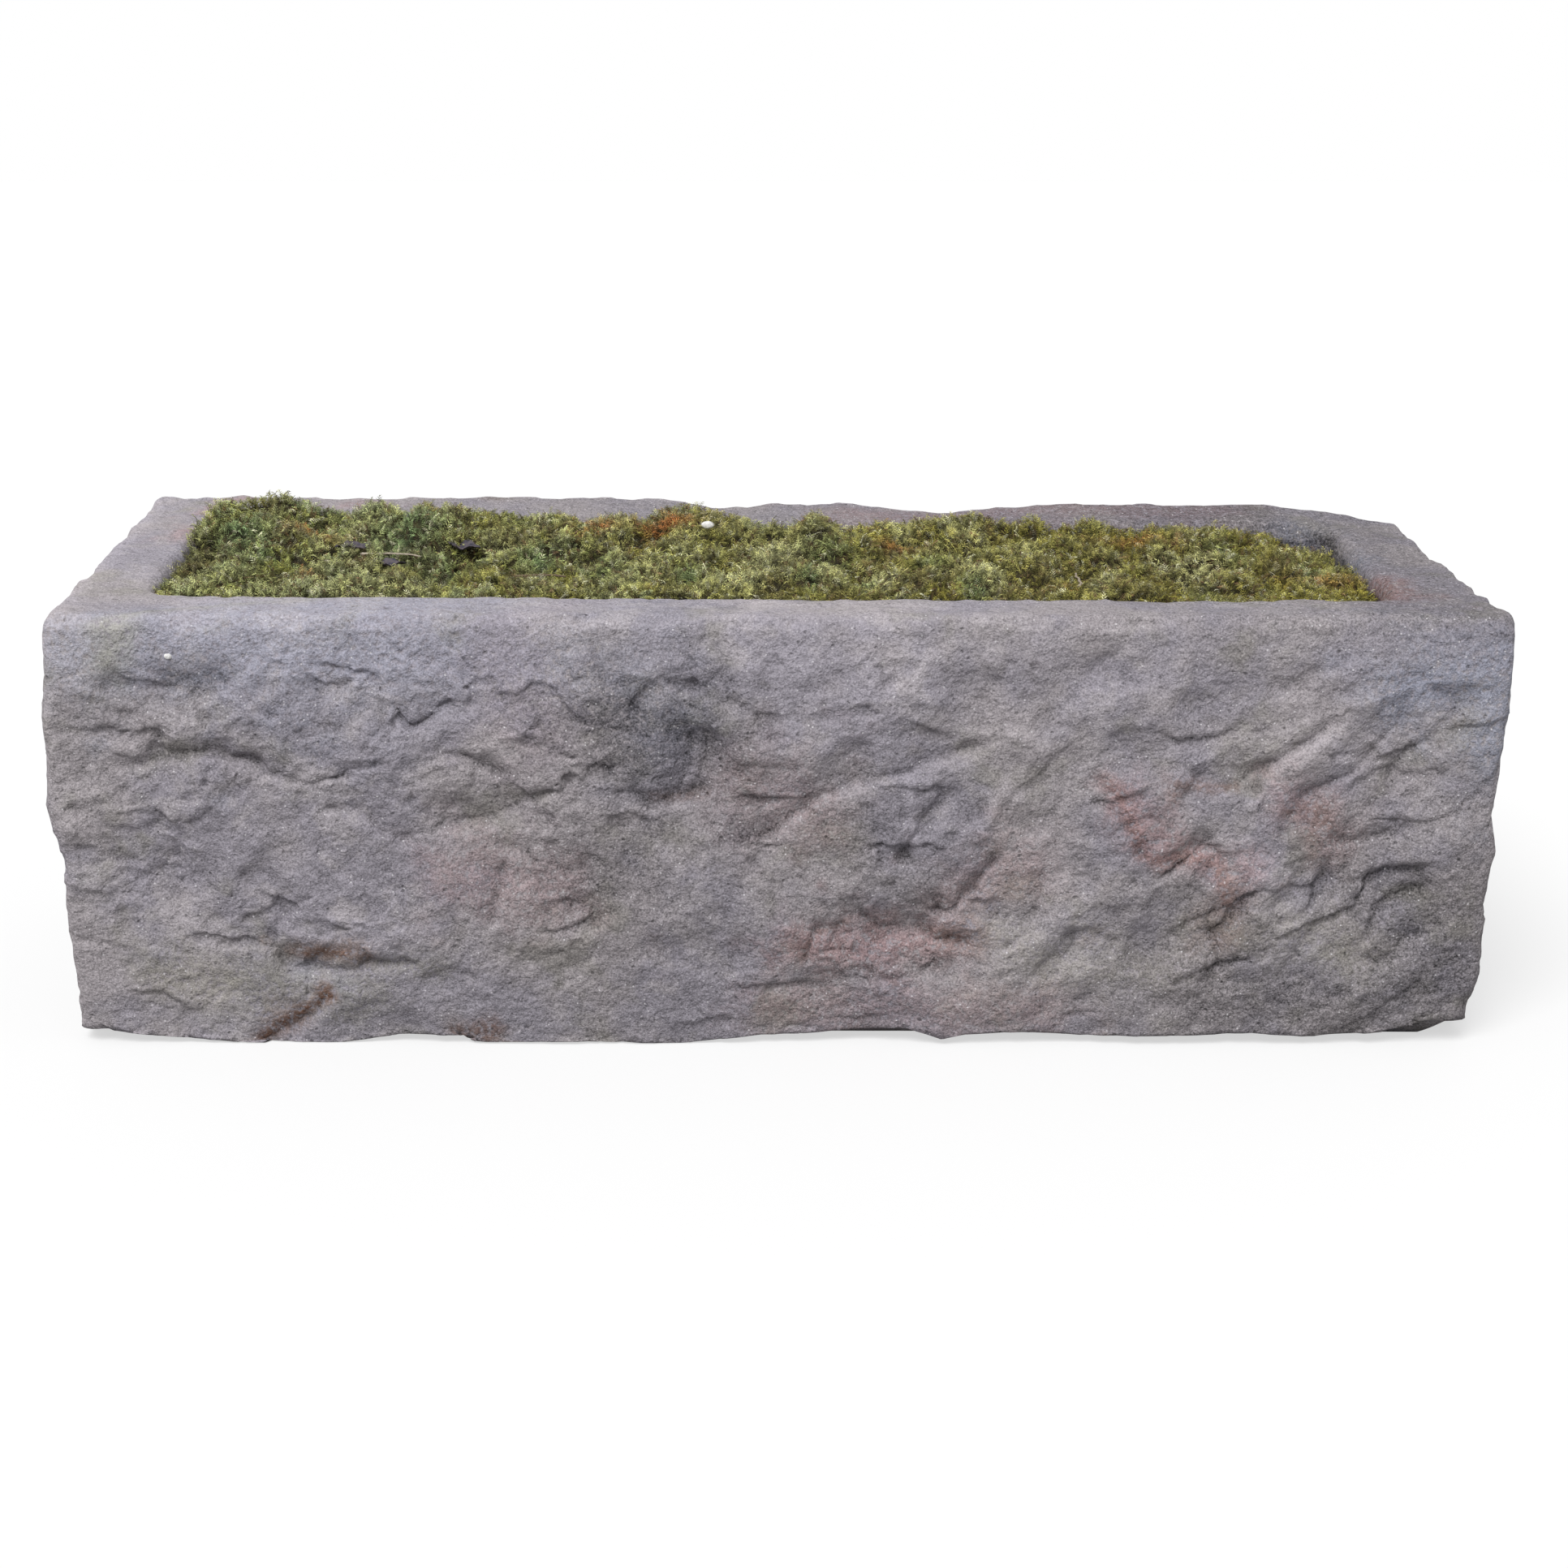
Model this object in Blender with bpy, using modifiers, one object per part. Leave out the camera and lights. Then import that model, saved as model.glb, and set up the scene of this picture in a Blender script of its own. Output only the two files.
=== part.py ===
"""
A rock-faced sandstone trough, planted: crocks over its drain hole, gravel, compost and cushions of moss.

+X runs along the trough, the front looks to -Y and +Z is up. The origin is on the ground, under the middle.
Lengths are in metres. A value or table whose name ends in share or shares is a part of the length it follows.
"""
import math

import bmesh
import bpy
import numpy as np
from mathutils import Vector
from mathutils.bvhtree import BVHTree

# The block of stone: its widest length and depth, and how far its dressed rim stands in from them
TROUGH_LENGTH = 1.536
TROUGH_DEPTH = 0.530
FRONT_HEIGHT = 0.477
END_BULGE = 0.018
FACE_BULGE = 0.010
BACK_RISE = 0.025
ARRIS_RADIUS = 0.018
BASE_CHIP = 0.028
CHIP_REACH = 0.040
CHIP_CLIMB = 0.080
LEAST_CHIP_SHARE = 0.05

# The hollow cut into the block
WALL_THICKNESS = 0.090
FLOOR_THICKNESS = 0.140
CAVITY_DRAFT = 0.030
CAVITY_CORNER_RADIUS = 0.032
LIP_RADIUS = 0.014
DRAIN_RADIUS = 0.018

# The rock face: flake scars of two sizes, slow swells, bedding and split ledges, calmer near the rim and
# the standing corners, and never prouder of the face than the proud limit
SCAR_SIZE = 0.150
SCAR_FLATNESS_SHARE = 1.3
SCAR_LIFT_SHARE = 0.25
SCAR_DEPTH = 0.013
CHIP_SIZE = 0.062
CHIP_DEPTH = 0.0045
SWELL_SIZE = 0.240
SWELL_DEPTH = 0.006
BED_HEIGHT = 0.058
BED_DEPTH = 0.003
LEDGE_DROP = 0.017
LEDGE_REACH = 0.050
LEDGE_EDGE = 0.006
PROUD_LIMIT = 0.004
CORNER_REACH = 0.070
CORNER_SHARE = 0.35
MARGIN_HEIGHT = 0.060
MARGIN_SHARE = 0.14
WEAR_SIZE = 0.070
WEAR_DEPTH = 0.0018

# What the trough holds, from the floor up
GRAVEL_DEPTH = 0.060
COMPOST_DROP = 0.075
COMPOST_LEAN = 0.012
COMPOST_BACK_RISE = 0.008
CROCK_RADIUS = 0.080
CROCK_THICKNESS = 0.009
CROCK_LENGTH = 0.110
MOSS_RISE = 0.040
CROWN_SPREAD = 0.080
MOSS_SHOULDER = 0.045
MOSS_SIDE_SHARE = 0.80
MOSS_SPLIT = 0.003
MOSS_EDGE_GAP = 0.004
MOSS_LUMP_SIZE = 0.045
MOSS_LUMP = 0.005

# Small things that lie on the moss
PEBBLE_LENGTH = 0.015
LEAF_LENGTH = 0.042
LEAF_THICKNESS = 0.0012
STEM_RADIUS = 0.0015

# Fits and the spacing of the mesh
SEAT_GAP = 0.0003
LITTER_GAP = 0.0006
CUT_OVERRUN = 0.060
GRID_SPACING = 0.0270
MOSS_GRID_SPACING = 0.034
SEAT_SAMPLE = 0.0007

HALF_LENGTH = TROUGH_LENGTH / 2
HALF_DEPTH = TROUGH_DEPTH / 2
RIM_HALF_LENGTH = HALF_LENGTH - END_BULGE
RIM_HALF_DEPTH = HALF_DEPTH - FACE_BULGE
MOUTH_HALF_LENGTH = RIM_HALF_LENGTH - WALL_THICKNESS
MOUTH_HALF_DEPTH = RIM_HALF_DEPTH - WALL_THICKNESS
GRAVEL_TOP = FLOOR_THICKNESS + GRAVEL_DEPTH
COMPOST_TOP = FRONT_HEIGHT - COMPOST_DROP

# How far the ends and the long faces swell out past the rim, up the height of the block
LEFT_END_SHARES = ((0.0, 0.35), (0.10, 0.25), (0.19, 0.45), (0.30, 0.75), (0.43, 0.5), (0.49, 0.5), (0.57, 1.15),
                   (0.65, 0.85), (0.78, 0.9), (0.92, 0.5), (1.0, 0.4))
RIGHT_END_SHARES = ((0.0, 0.1), (0.06, 0.3), (0.14, 0.6), (0.30, 0.8), (0.34, 0.6), (0.47, 0.9), (0.55, 0.55),
                    (0.63, 0.7), (0.78, 1.05), (0.92, 1.1), (1.0, 1.0))
LONG_FACE_SHARES = ((0.0, -0.3), (0.12, 0.2), (0.35, 0.6), (0.7, 0.65), (0.87, 0.4), (1.0, 0.0))

# How high the back rim stands over the front one, along the length
BACK_SKYLINE_SHARES = ((-0.50, 1.02), (-0.44, 1.08), (-0.31, 1.02), (-0.21, 1.12), (-0.13, 1.08), (-0.09, 0.94),
                       (-0.05, 0.62), (0.0, 0.76), (0.05, 0.84), (0.10, 0.54), (0.14, 0.34), (0.18, 0.68),
                       (0.28, 0.82), (0.40, 0.70), (0.45, 0.36), (0.50, -0.20))

# How high the lower front edge is chipped away, along the length
FRONT_CHIP_SHARES = ((-0.50, 0.90), (-0.488, 0.55), (-0.436, 0.25), (-0.383, 0.0), (-0.339, 0.0), (-0.289, 0.50),
                     (-0.239, 0.52), (-0.225, 0.12), (-0.15, 0.20), (-0.073, 0.0), (-0.014, 0.52), (0.038, 0.66),
                     (0.091, 0.95), (0.108, 1.0), (0.134, 0.38), (0.152, 0.66), (0.196, 0.80), (0.243, 0.56),
                     (0.336, 0.66), (0.377, 0.78), (0.424, 0.56), (0.48, 0.80), (0.50, 1.6))

# Split ledges of the front: the run of the line, the side that is hollow (1 above or right of it, -1 below
# or left), shares of the drop and the reach, and the line's corners as (along, height)
LEDGE_SHARES = (
    ("level", 1, 1.00, 0.70, ((-0.449, 0.662), (-0.401, 0.682), (-0.361, 0.664), (-0.328, 0.632),
                              (-0.297, 0.642), (-0.253, 0.694), (-0.215, 0.689), (-0.190, 0.655))),
    ("level", 1, 0.80, 0.45, ((-0.437, 0.684), (-0.402, 0.692), (-0.360, 0.670))),
    ("level", 1, 0.60, 0.50, ((-0.315, 0.560), (-0.293, 0.548), (-0.282, 0.505), (-0.266, 0.497),
                              (-0.236, 0.528), (-0.200, 0.548), (-0.171, 0.588), (-0.149, 0.622))),
    ("level", 1, 0.35, 0.25, ((-0.352, 0.755), (-0.342, 0.766), (-0.326, 0.734))),
    ("level", 1, 0.50, 0.25, ((-0.264, 0.786), (-0.249, 0.766), (-0.228, 0.803))),
    ("upright", 1, 0.40, 0.35, ((-0.286, 0.698), (-0.276, 0.744), (-0.273, 0.797))),
    ("level", 1, 0.30, 0.25, ((-0.472, 0.538), (-0.453, 0.507), (-0.431, 0.540))),
    ("level", 1, 0.35, 0.25, ((-0.474, 0.439), (-0.453, 0.399), (-0.430, 0.443))),
    ("level", -1, 0.30, 0.25, ((-0.383, 0.407), (-0.367, 0.415), (-0.340, 0.388))),
    ("level", 1, 0.85, 0.35, ((-0.359, 0.215), (-0.326, 0.196), (-0.299, 0.200), (-0.263, 0.196))),
    ("level", 1, 0.95, 0.35, ((-0.383, 0.000), (-0.356, 0.042), (-0.343, 0.066), (-0.323, 0.125))),
    ("upright", 1, 0.25, 0.30, ((-0.277, 0.392), (-0.291, 0.404), (-0.300, 0.436), (-0.301, 0.508))),
    ("upright", -1, 0.65, 0.40, ((-0.205, 0.283), (-0.200, 0.316), (-0.193, 0.371), (-0.192, 0.429))),
    ("level", -1, 0.55, 0.60, ((-0.109, 0.811), (-0.083, 0.860), (-0.064, 0.846), (-0.045, 0.860),
                               (-0.035, 0.884))),
    ("upright", 1, 0.55, 0.30, ((-0.055, 0.600), (-0.051, 0.660), (-0.048, 0.706), (-0.047, 0.749))),
    ("upright", -1, 0.60, 0.60, ((-0.062, 0.610), (-0.058, 0.660), (-0.056, 0.740))),
    ("level", -1, 0.55, 0.35, ((-0.110, 0.603), (-0.077, 0.589), (-0.047, 0.615))),
    ("level", 1, 0.30, 0.25, ((-0.133, 0.733), (-0.117, 0.745), (-0.112, 0.769))),
    ("level", -1, 0.30, 0.25, ((-0.111, 0.521), (-0.099, 0.521), (-0.089, 0.536))),
    ("upright", 1, 0.30, 0.25, ((0.002, 0.510), (-0.006, 0.549), (-0.010, 0.589))),
    ("level", 1, 1.00, 0.70, ((-0.002, 0.506), (0.040, 0.604), (0.092, 0.651), (0.139, 0.707),
                              (0.153, 0.724))),
    ("upright", 1, 0.90, 0.60, ((0.095, 0.459), (0.105, 0.516), (0.114, 0.563), (0.120, 0.591))),
    ("level", 1, 0.70, 0.50, ((0.095, 0.453), (0.112, 0.450), (0.129, 0.497), (0.154, 0.573))),
    ("level", 1, 0.80, 0.45, ((0.119, 0.325), (0.133, 0.335), (0.147, 0.383), (0.161, 0.450))),
    ("level", 1, 0.65, 0.45, ((0.022, 0.198), (0.033, 0.284), (0.062, 0.307), (0.106, 0.280),
                              (0.140, 0.255))),
    ("upright", 1, 0.45, 0.55, ((-0.022, 0.372), (-0.017, 0.420), (-0.008, 0.468), (0.002, 0.487))),
    ("level", 1, 0.35, 0.35, ((-0.094, 0.164), (-0.084, 0.194), (-0.067, 0.205))),
    ("upright", 1, 0.45, 0.45, ((0.095, 0.106), (0.107, 0.169), (0.119, 0.199))),
    ("level", 1, 0.75, 0.80, ((0.289, 0.645), (0.312, 0.628), (0.331, 0.630), (0.346, 0.643))),
    ("upright", -1, 0.85, 0.65, ((0.349, 0.611), (0.353, 0.671), (0.370, 0.703), (0.384, 0.736),
                                 (0.398, 0.776))),
    ("level", 1, 0.55, 0.50, ((0.278, 0.393), (0.311, 0.489), (0.333, 0.564), (0.349, 0.611))),
    ("upright", 1, 0.30, 0.35, ((0.261, 0.462), (0.255, 0.530), (0.247, 0.596), (0.236, 0.637))),
    ("level", 1, 0.35, 0.35, ((0.261, 0.455), (0.282, 0.451), (0.299, 0.472), (0.314, 0.462),
                              (0.323, 0.413))),
    ("level", 1, 0.45, 0.35, ((0.407, 0.497), (0.429, 0.493), (0.444, 0.505), (0.454, 0.531))),
    ("level", -1, 0.75, 0.50, ((0.425, 0.356), (0.431, 0.413), (0.451, 0.431), (0.469, 0.452))),
    ("level", -1, 0.60, 0.45, ((0.323, 0.278), (0.334, 0.336), (0.346, 0.374))),
    ("level", -1, 0.60, 0.45, ((0.366, 0.298), (0.383, 0.311), (0.392, 0.361), (0.398, 0.413))),
    ("level", 1, 0.65, 0.40, ((0.314, 0.151), (0.329, 0.200), (0.349, 0.229))),
    ("level", -1, 0.40, 0.40, ((0.245, 0.741), (0.265, 0.756), (0.287, 0.732))),
    ("level", -1, 0.50, 0.50, ((0.414, 0.621), (0.431, 0.645), (0.456, 0.658), (0.480, 0.668))),
    ("upright", -1, 0.40, 0.45, ((0.209, 0.172), (0.216, 0.225), (0.223, 0.275))),
)

# Crocks: shares of the floor's half length and half depth for the place, share of the full size, turn
CROCK_SHARES = ((0.0, 0.0, 1.0, 8.0), (-0.24, 0.10, 0.70, -34.0), (0.22, -0.12, 0.66, 52.0))
CROCK_ARC_DEGREES = 104.0

# Moss cushions: shares of the bed's half length and half depth for the middle, and the crown's height over
# the front rim as a share of the moss's rise
MOSS_SHARES = (
    (-0.93, -0.42, 0.10),
    (-0.90, 0.30, 0.75),
    (-0.82, 0.84, 1.45),
    (-0.68, -0.48, 0.15),
    (-0.52, 0.70, 0.65),
    (-0.42, -0.50, 0.00),
    (-0.32, 0.62, 0.60),
    (-0.19, -0.20, 0.25),
    (-0.11, 0.80, 0.95),
    (0.02, -0.58, 0.08),
    (0.12, 0.38, 0.60),
    (0.27, -0.42, 0.15),
    (0.33, 0.74, 0.60),
    (0.48, 0.05, 0.25),
    (0.60, -0.62, 0.00),
    (0.68, 0.66, 0.35),
    (0.82, -0.12, -0.05),
    (0.95, -0.50, -0.30),
)

# Leaves, stems and pebble: shares of the bed for the middle, share of the full length, turn in degrees
LEAF_SHARES = ((-0.725, 0.07, 1.0, 15.0), (-0.650, -0.34, 0.85, -12.0), (-0.535, 0.09, 1.0, -35.0))
STEM_LENGTH = 0.070
STEM_SHARES = ((-0.745, -0.28, 0.50, -45.0), (-0.655, -0.13, 1.0, -13.0), (-0.390, -0.53, 0.80, -4.0),
               (-0.438, 0.05, 0.90, -68.0), (0.514, -0.58, 0.90, 84.0))
PEBBLE_SHARES = (-0.115, 0.44)


# Patterns that shape the stone and the moss

def corner_value(column, row, layer, seed):
    """A value from 0 to 1 for each whole-number place, mixed from its three numbers and the seed."""
    mixed = (column * 73856093) ^ (row * 19349663) ^ (layer * 83492791) ^ (seed * 49979687)
    mixed = (mixed ^ (mixed >> 13)) & 0xFFFFFFFF
    mixed = (mixed * 1274126177) & 0xFFFFFFFF
    return ((mixed ^ (mixed >> 16)) & 0xFFFF) / 0xFFFF


def soft_noise(points, cell, seed):
    """
    Noise from -1 to 1: the values at the eight corners of the lattice cube round each point, blended by the
    fade 6t^5 - 15t^4 + 10t^3 along each axis.
    """
    scaled = points / cell
    low = np.floor(scaled).astype(np.int64)
    t = scaled - low
    fade = t ** 3 * (t * (t * 6 - 15) + 10)
    total = np.zeros(len(points))
    for corner in np.ndindex(2, 2, 2):
        weight = np.prod(np.where(corner, fade, 1 - fade), axis=1)
        place = low + np.array(corner)
        total += weight * corner_value(place[:, 0], place[:, 1], place[:, 2], seed)
    return 2 * total - 1


def smooth_step(value, start, end):
    """0 before start, 1 past end, and 3t^2 - 2t^3 between them."""
    t = np.clip((value - start) / (end - start), 0, 1)
    return t * t * (3 - 2 * t)


def flake_scars(along, height, girth, size, seed):
    """
    Knapped stone, from about -1 to 1: each cell of a jittered grid holds one tilted scoop, a paraboloid that
    is deepest near its middle, and the surface is the lowest of the scoops round it, so they meet in ridges.
    """
    columns = max(round(girth / size), 3)
    step = girth / columns
    column = np.floor(along / step).astype(np.int64)
    row = np.floor(height / size).astype(np.int64)
    lowest = np.full(along.shape, np.inf)
    for i in (-1, 0, 1):
        for j in (-1, 0, 1):
            cell = (column + i) % columns
            level = row + j
            jitter_along = corner_value(cell, level, 1, seed) - 0.5
            jitter_height = corner_value(cell, level, 2, seed) - 0.5
            across = along / step - (column + i + 0.5 + 0.8 * jitter_along)
            up = height / size - (level + 0.5 + 0.8 * jitter_height)
            tilt_along = corner_value(cell, level, 3, seed) - 0.5
            tilt_up = corner_value(cell, level, 4, seed) - 0.5
            depth = corner_value(cell, level, 5, seed)
            scoop = 1.7 * (across ** 2 + up ** 2) + tilt_along * across + tilt_up * up - depth
            lowest = np.minimum(lowest, scoop)
    return lowest + SCAR_LIFT_SHARE


def ledge(along, height, row):
    """
    One split ledge, in shares: beside its line the surface sinks by exp(-distance / reach) towards the line,
    and comes back within the edge's width on the other side. It fades out past either end.
    """
    run, side, drop, reach, corners = row
    corners = np.array(corners)
    forward, sideways = (along, height) if run == "level" else (height, along)
    stations, line = (corners[:, 0], corners[:, 1]) if run == "level" else (corners[:, 1], corners[:, 0])
    unit = FRONT_HEIGHT if run == "level" else 2 * RIM_HALF_LENGTH
    ahead = 2 * RIM_HALF_LENGTH if run == "level" else FRONT_HEIGHT
    distance = side * (sideways - np.interp(forward, stations, line)) * unit
    past_end = np.maximum(stations[0] - forward, forward - stations[-1]) * ahead
    strength = 1 - smooth_step(past_end, -0.3 * LEDGE_REACH * reach, LEDGE_REACH * reach)
    hollow = np.exp(-np.maximum(distance, 0) / (LEDGE_REACH * reach))
    edge = np.exp(np.minimum(distance, 0) / LEDGE_EDGE)
    return -drop * strength * hollow * edge


# The surface of the stone

def girth_place(x, y):
    """The way round the block from the middle of the front, positive to the right, at a point's own side."""
    length_share = np.abs(x) / HALF_LENGTH
    depth_share = np.abs(y) / HALF_DEPTH
    share = np.maximum(np.maximum(length_share, depth_share), 1e-9)
    edge_x = x / share
    edge_y = y / share
    side = np.where(edge_x < 0, -1, 1)
    on_end = side * (HALF_LENGTH + edge_y + HALF_DEPTH)
    on_back = side * (2 * HALF_LENGTH + 2 * HALF_DEPTH - np.abs(edge_x))
    on_long = np.where(y < 0, edge_x, on_back)
    return np.where(length_share >= depth_share, on_end, on_long)


def rim_lift(points, start):
    """How far the twist and wear of the rim raise a point: nothing below start, all of it at the rim."""
    along = points[:, 0] / (2 * RIM_HALF_LENGTH)
    backward = np.clip((points[:, 1] + RIM_HALF_DEPTH) / (2 * RIM_HALF_DEPTH), 0, 1)
    skyline = np.array(BACK_SKYLINE_SHARES)
    back = np.interp(along, skyline[:, 0], skyline[:, 1]) * BACK_RISE
    ends = np.interp(along, (-0.5, 0.5), (skyline[0, 1], skyline[-1, 1])) * BACK_RISE
    lift = backward * (ends + (back - ends) * smooth_step(backward, 0.5, 1.0))
    return lift * smooth_step(points[:, 2], start, FRONT_HEIGHT)


def round_arrises(points, radius):
    """
    Moves points of the plain block on to the same block with rounded arrises, and gives their normals: the
    nearest point of the core that stands a radius inside, plus a radius along the way to it.
    """
    low = np.array((radius - HALF_LENGTH, radius - HALF_DEPTH, radius))
    high = np.array((HALF_LENGTH - radius, HALF_DEPTH - radius, FRONT_HEIGHT - radius))
    core = np.clip(points, low, high)
    core[:, 2] = np.minimum(points[:, 2], high[2])
    way = points - core
    normals = way / np.maximum(np.linalg.norm(way, axis=1, keepdims=True), 1e-9)
    return np.where(np.abs(way).max(axis=1, keepdims=True) > 0, core + radius * normals, points), normals


def plan_stretch(points):
    """How much the plan is stretched along and across at each height, so that the sides swell past the rim."""
    left = np.array(LEFT_END_SHARES)
    right = np.array(RIGHT_END_SHARES)
    long_face = np.array(LONG_FACE_SHARES)
    height_share = points[:, 2] / FRONT_HEIGHT
    end = np.where(points[:, 0] < 0, np.interp(height_share, left[:, 0], left[:, 1]),
                   np.interp(height_share, right[:, 0], right[:, 1]))
    face = np.interp(height_share, long_face[:, 0], long_face[:, 1])
    return np.stack((1 + (end - 1) * END_BULGE / HALF_LENGTH, 1 + (face - 1) * FACE_BULGE / HALF_DEPTH), axis=1)


def rock_relief(points, place):
    """
    The depth of the split rock face: swells, bedding, two sizes of flake scar and the front's ledges. What
    stands proud of the face is worked down, and nears the proud limit by 1 - exp(-relief / limit).
    """
    girth = 4 * (HALF_LENGTH + HALF_DEPTH)
    warp = soft_noise(points, SWELL_SIZE / 2, 5) * SCAR_SIZE / 4
    front_right = np.clip(place, 0, HALF_LENGTH) / HALF_LENGTH
    slant = front_right ** 2 * SCAR_SIZE * 2
    height = points[:, 2] * SCAR_FLATNESS_SHARE + warp - slant
    scars = flake_scars(place + warp, height, girth, SCAR_SIZE, 11)
    chips = flake_scars(place - warp, height, girth, CHIP_SIZE, 23)
    beds = (points[:, 2] + warp - slant * 0.7) / BED_HEIGHT
    bedding = beds - np.floor(beds) - 0.5
    relief = SCAR_DEPTH * scars + CHIP_DEPTH * chips
    relief += SWELL_DEPTH * soft_noise(points, SWELL_SIZE, 3) - BED_DEPTH * bedding
    along = (place + warp * 0.10) / (2 * RIM_HALF_LENGTH)
    height_share = (points[:, 2] + warp * 0.10) / FRONT_HEIGHT
    for row in LEDGE_SHARES:
        relief += LEDGE_DROP * ledge(along, height_share, row)
    proud = PROUD_LIMIT * (1 - np.exp(-np.maximum(relief, 0) / PROUD_LIMIT))
    return np.where(relief > 0, proud, relief)


def calmness(points):
    """The share of the relief that is left: little in the margin under the rim, less at the standing corners."""
    wavy_height = points[:, 2] - soft_noise(points, WEAR_SIZE, 7) * MARGIN_HEIGHT * 0.3
    under_rim = smooth_step(FRONT_HEIGHT - wavy_height, MARGIN_HEIGHT * 0.35, MARGIN_HEIGHT * 1.25)
    from_corner = np.maximum(HALF_LENGTH - np.abs(points[:, 0]), HALF_DEPTH - np.abs(points[:, 1]))
    off_corner = smooth_step(from_corner, 0, CORNER_REACH)
    return (MARGIN_SHARE + (1 - MARGIN_SHARE) * under_rim) * (CORNER_SHARE + (1 - CORNER_SHARE) * off_corner)


def chip_base(points, place):
    """How far the lower edge is raised where it is chipped away, fading up the side and in under the base."""
    chips = np.array(FRONT_CHIP_SHARES)
    on_front = np.interp(place / (2 * RIM_HALF_LENGTH), chips[:, 0], chips[:, 1])
    flat_points = np.stack((points[:, 0], points[:, 1], 0 * points[:, 2]), axis=1)
    elsewhere = 0.45 + 0.55 * soft_noise(flat_points, SCAR_SIZE / 2, 31)
    past_corner = smooth_step(np.abs(place), HALF_LENGTH, HALF_LENGTH + CORNER_REACH)
    chip = on_front + (elsewhere - on_front) * past_corner
    chip = np.maximum(chip, LEAST_CHIP_SHARE) * BASE_CHIP
    inside = np.minimum(HALF_LENGTH - np.abs(points[:, 0]), HALF_DEPTH - np.abs(points[:, 1]))
    return chip * np.clip(1 - inside / CHIP_REACH, 0, 1) * np.clip(1 - points[:, 2] / CHIP_CLIMB, 0, 1)


def weather(points):
    """Turns points of the plain block into points of the weathered stone, at its full length and depth."""
    place = girth_place(points[:, 0], points[:, 1])
    raised = chip_base(points, place)
    rounded, normals = round_arrises(points, ARRIS_RADIUS)
    level = normals.copy()
    level[:, 2] = 0
    stone = rounded + level * (calmness(points) * rock_relief(points, place))[:, None]
    stone[:, :2] *= plan_stretch(points)
    stone[:, 2] += raised + rim_lift(points, FRONT_HEIGHT / 2)
    stone[:, 2] += np.maximum(normals[:, 2], 0) * WEAR_DEPTH * soft_noise(points, WEAR_SIZE, 13)
    for axis, full in ((0, TROUGH_LENGTH), (1, TROUGH_DEPTH)):
        low = stone[:, axis].min()
        high = stone[:, axis].max()
        stone[:, axis] = (stone[:, axis] - (low + high) / 2) * full / (high - low)
    return stone


# Tools shared by the pieces

def clear_scene():
    """Takes away whatever the file already holds."""
    for piece in list(bpy.data.objects):
        bpy.data.objects.remove(piece)


def make_material(name, colour, roughness):
    """A plain material of one colour."""
    material = bpy.data.materials.new(name)
    material.use_nodes = True
    shader = material.node_tree.nodes["Principled BSDF"]
    shader.inputs["Base Color"].default_value = (*colour, 1.0)
    shader.inputs["Roughness"].default_value = roughness
    shader.inputs["Metallic"].default_value = 0.0
    return material


def object_from(mesh_data, name, material, collection, smooth_degrees=40.0):
    """Puts a bmesh, or a mesh, into a new object with its material and its smooth shading."""
    mesh = mesh_data
    if isinstance(mesh_data, bmesh.types.BMesh):
        mesh = bpy.data.meshes.new(name)
        mesh_data.to_mesh(mesh)
        mesh_data.free()
    mesh.shade_smooth()
    mesh.set_sharp_from_angle(angle=math.radians(smooth_degrees))
    piece = bpy.data.objects.new(name, mesh)
    if material is not None:
        piece.data.materials.append(material)
    collection.objects.link(piece)
    return piece


def as_cutter(piece):
    """Keeps a cutter out of the render and shows it as wire."""
    piece.hide_render = True
    piece.display_type = "WIRE"
    return piece


def cut_away(piece, cutter):
    """Takes the cutter's shape out of a piece."""
    boolean = piece.modifiers.new("cut_by_" + cutter.name, "BOOLEAN")
    boolean.operation = "DIFFERENCE"
    boolean.solver = "EXACT"
    boolean.object = cutter


def get_places(mesh_data):
    """The places of a bmesh's vertices, as one array."""
    return np.array([vertex.co[:] for vertex in mesh_data.verts])


def set_places(mesh_data, places):
    """Gives a bmesh's vertices new places."""
    for vertex, place in zip(mesh_data.verts, places):
        vertex.co = place


def slice_across(mesh_data, axis, places):
    """Cuts edges into a mesh where planes across one axis pass through it."""
    normal = Vector((0.0, 0.0, 0.0))
    normal[axis] = 1.0
    for place in places:
        whole = mesh_data.verts[:] + mesh_data.edges[:] + mesh_data.faces[:]
        bmesh.ops.bisect_plane(mesh_data, geom=whole, plane_co=normal * place, plane_no=normal)


def even_stations(low, high, spacing):
    """Places between low and high, both left out, about one spacing apart."""
    count = max(round((high - low) / spacing), 1)
    return [low + (high - low) * i / count for i in range(1, count)]


def rimmed_stations(half, radius, spacing):
    """Even stations along a side, with two more for the rounded arris at either end."""
    inner = half - radius
    middle = [-inner] + even_stations(-inner, inner, spacing) + [inner]
    return [-half + radius * 0.3] + middle + [half - radius * 0.3]


# The stone

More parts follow.
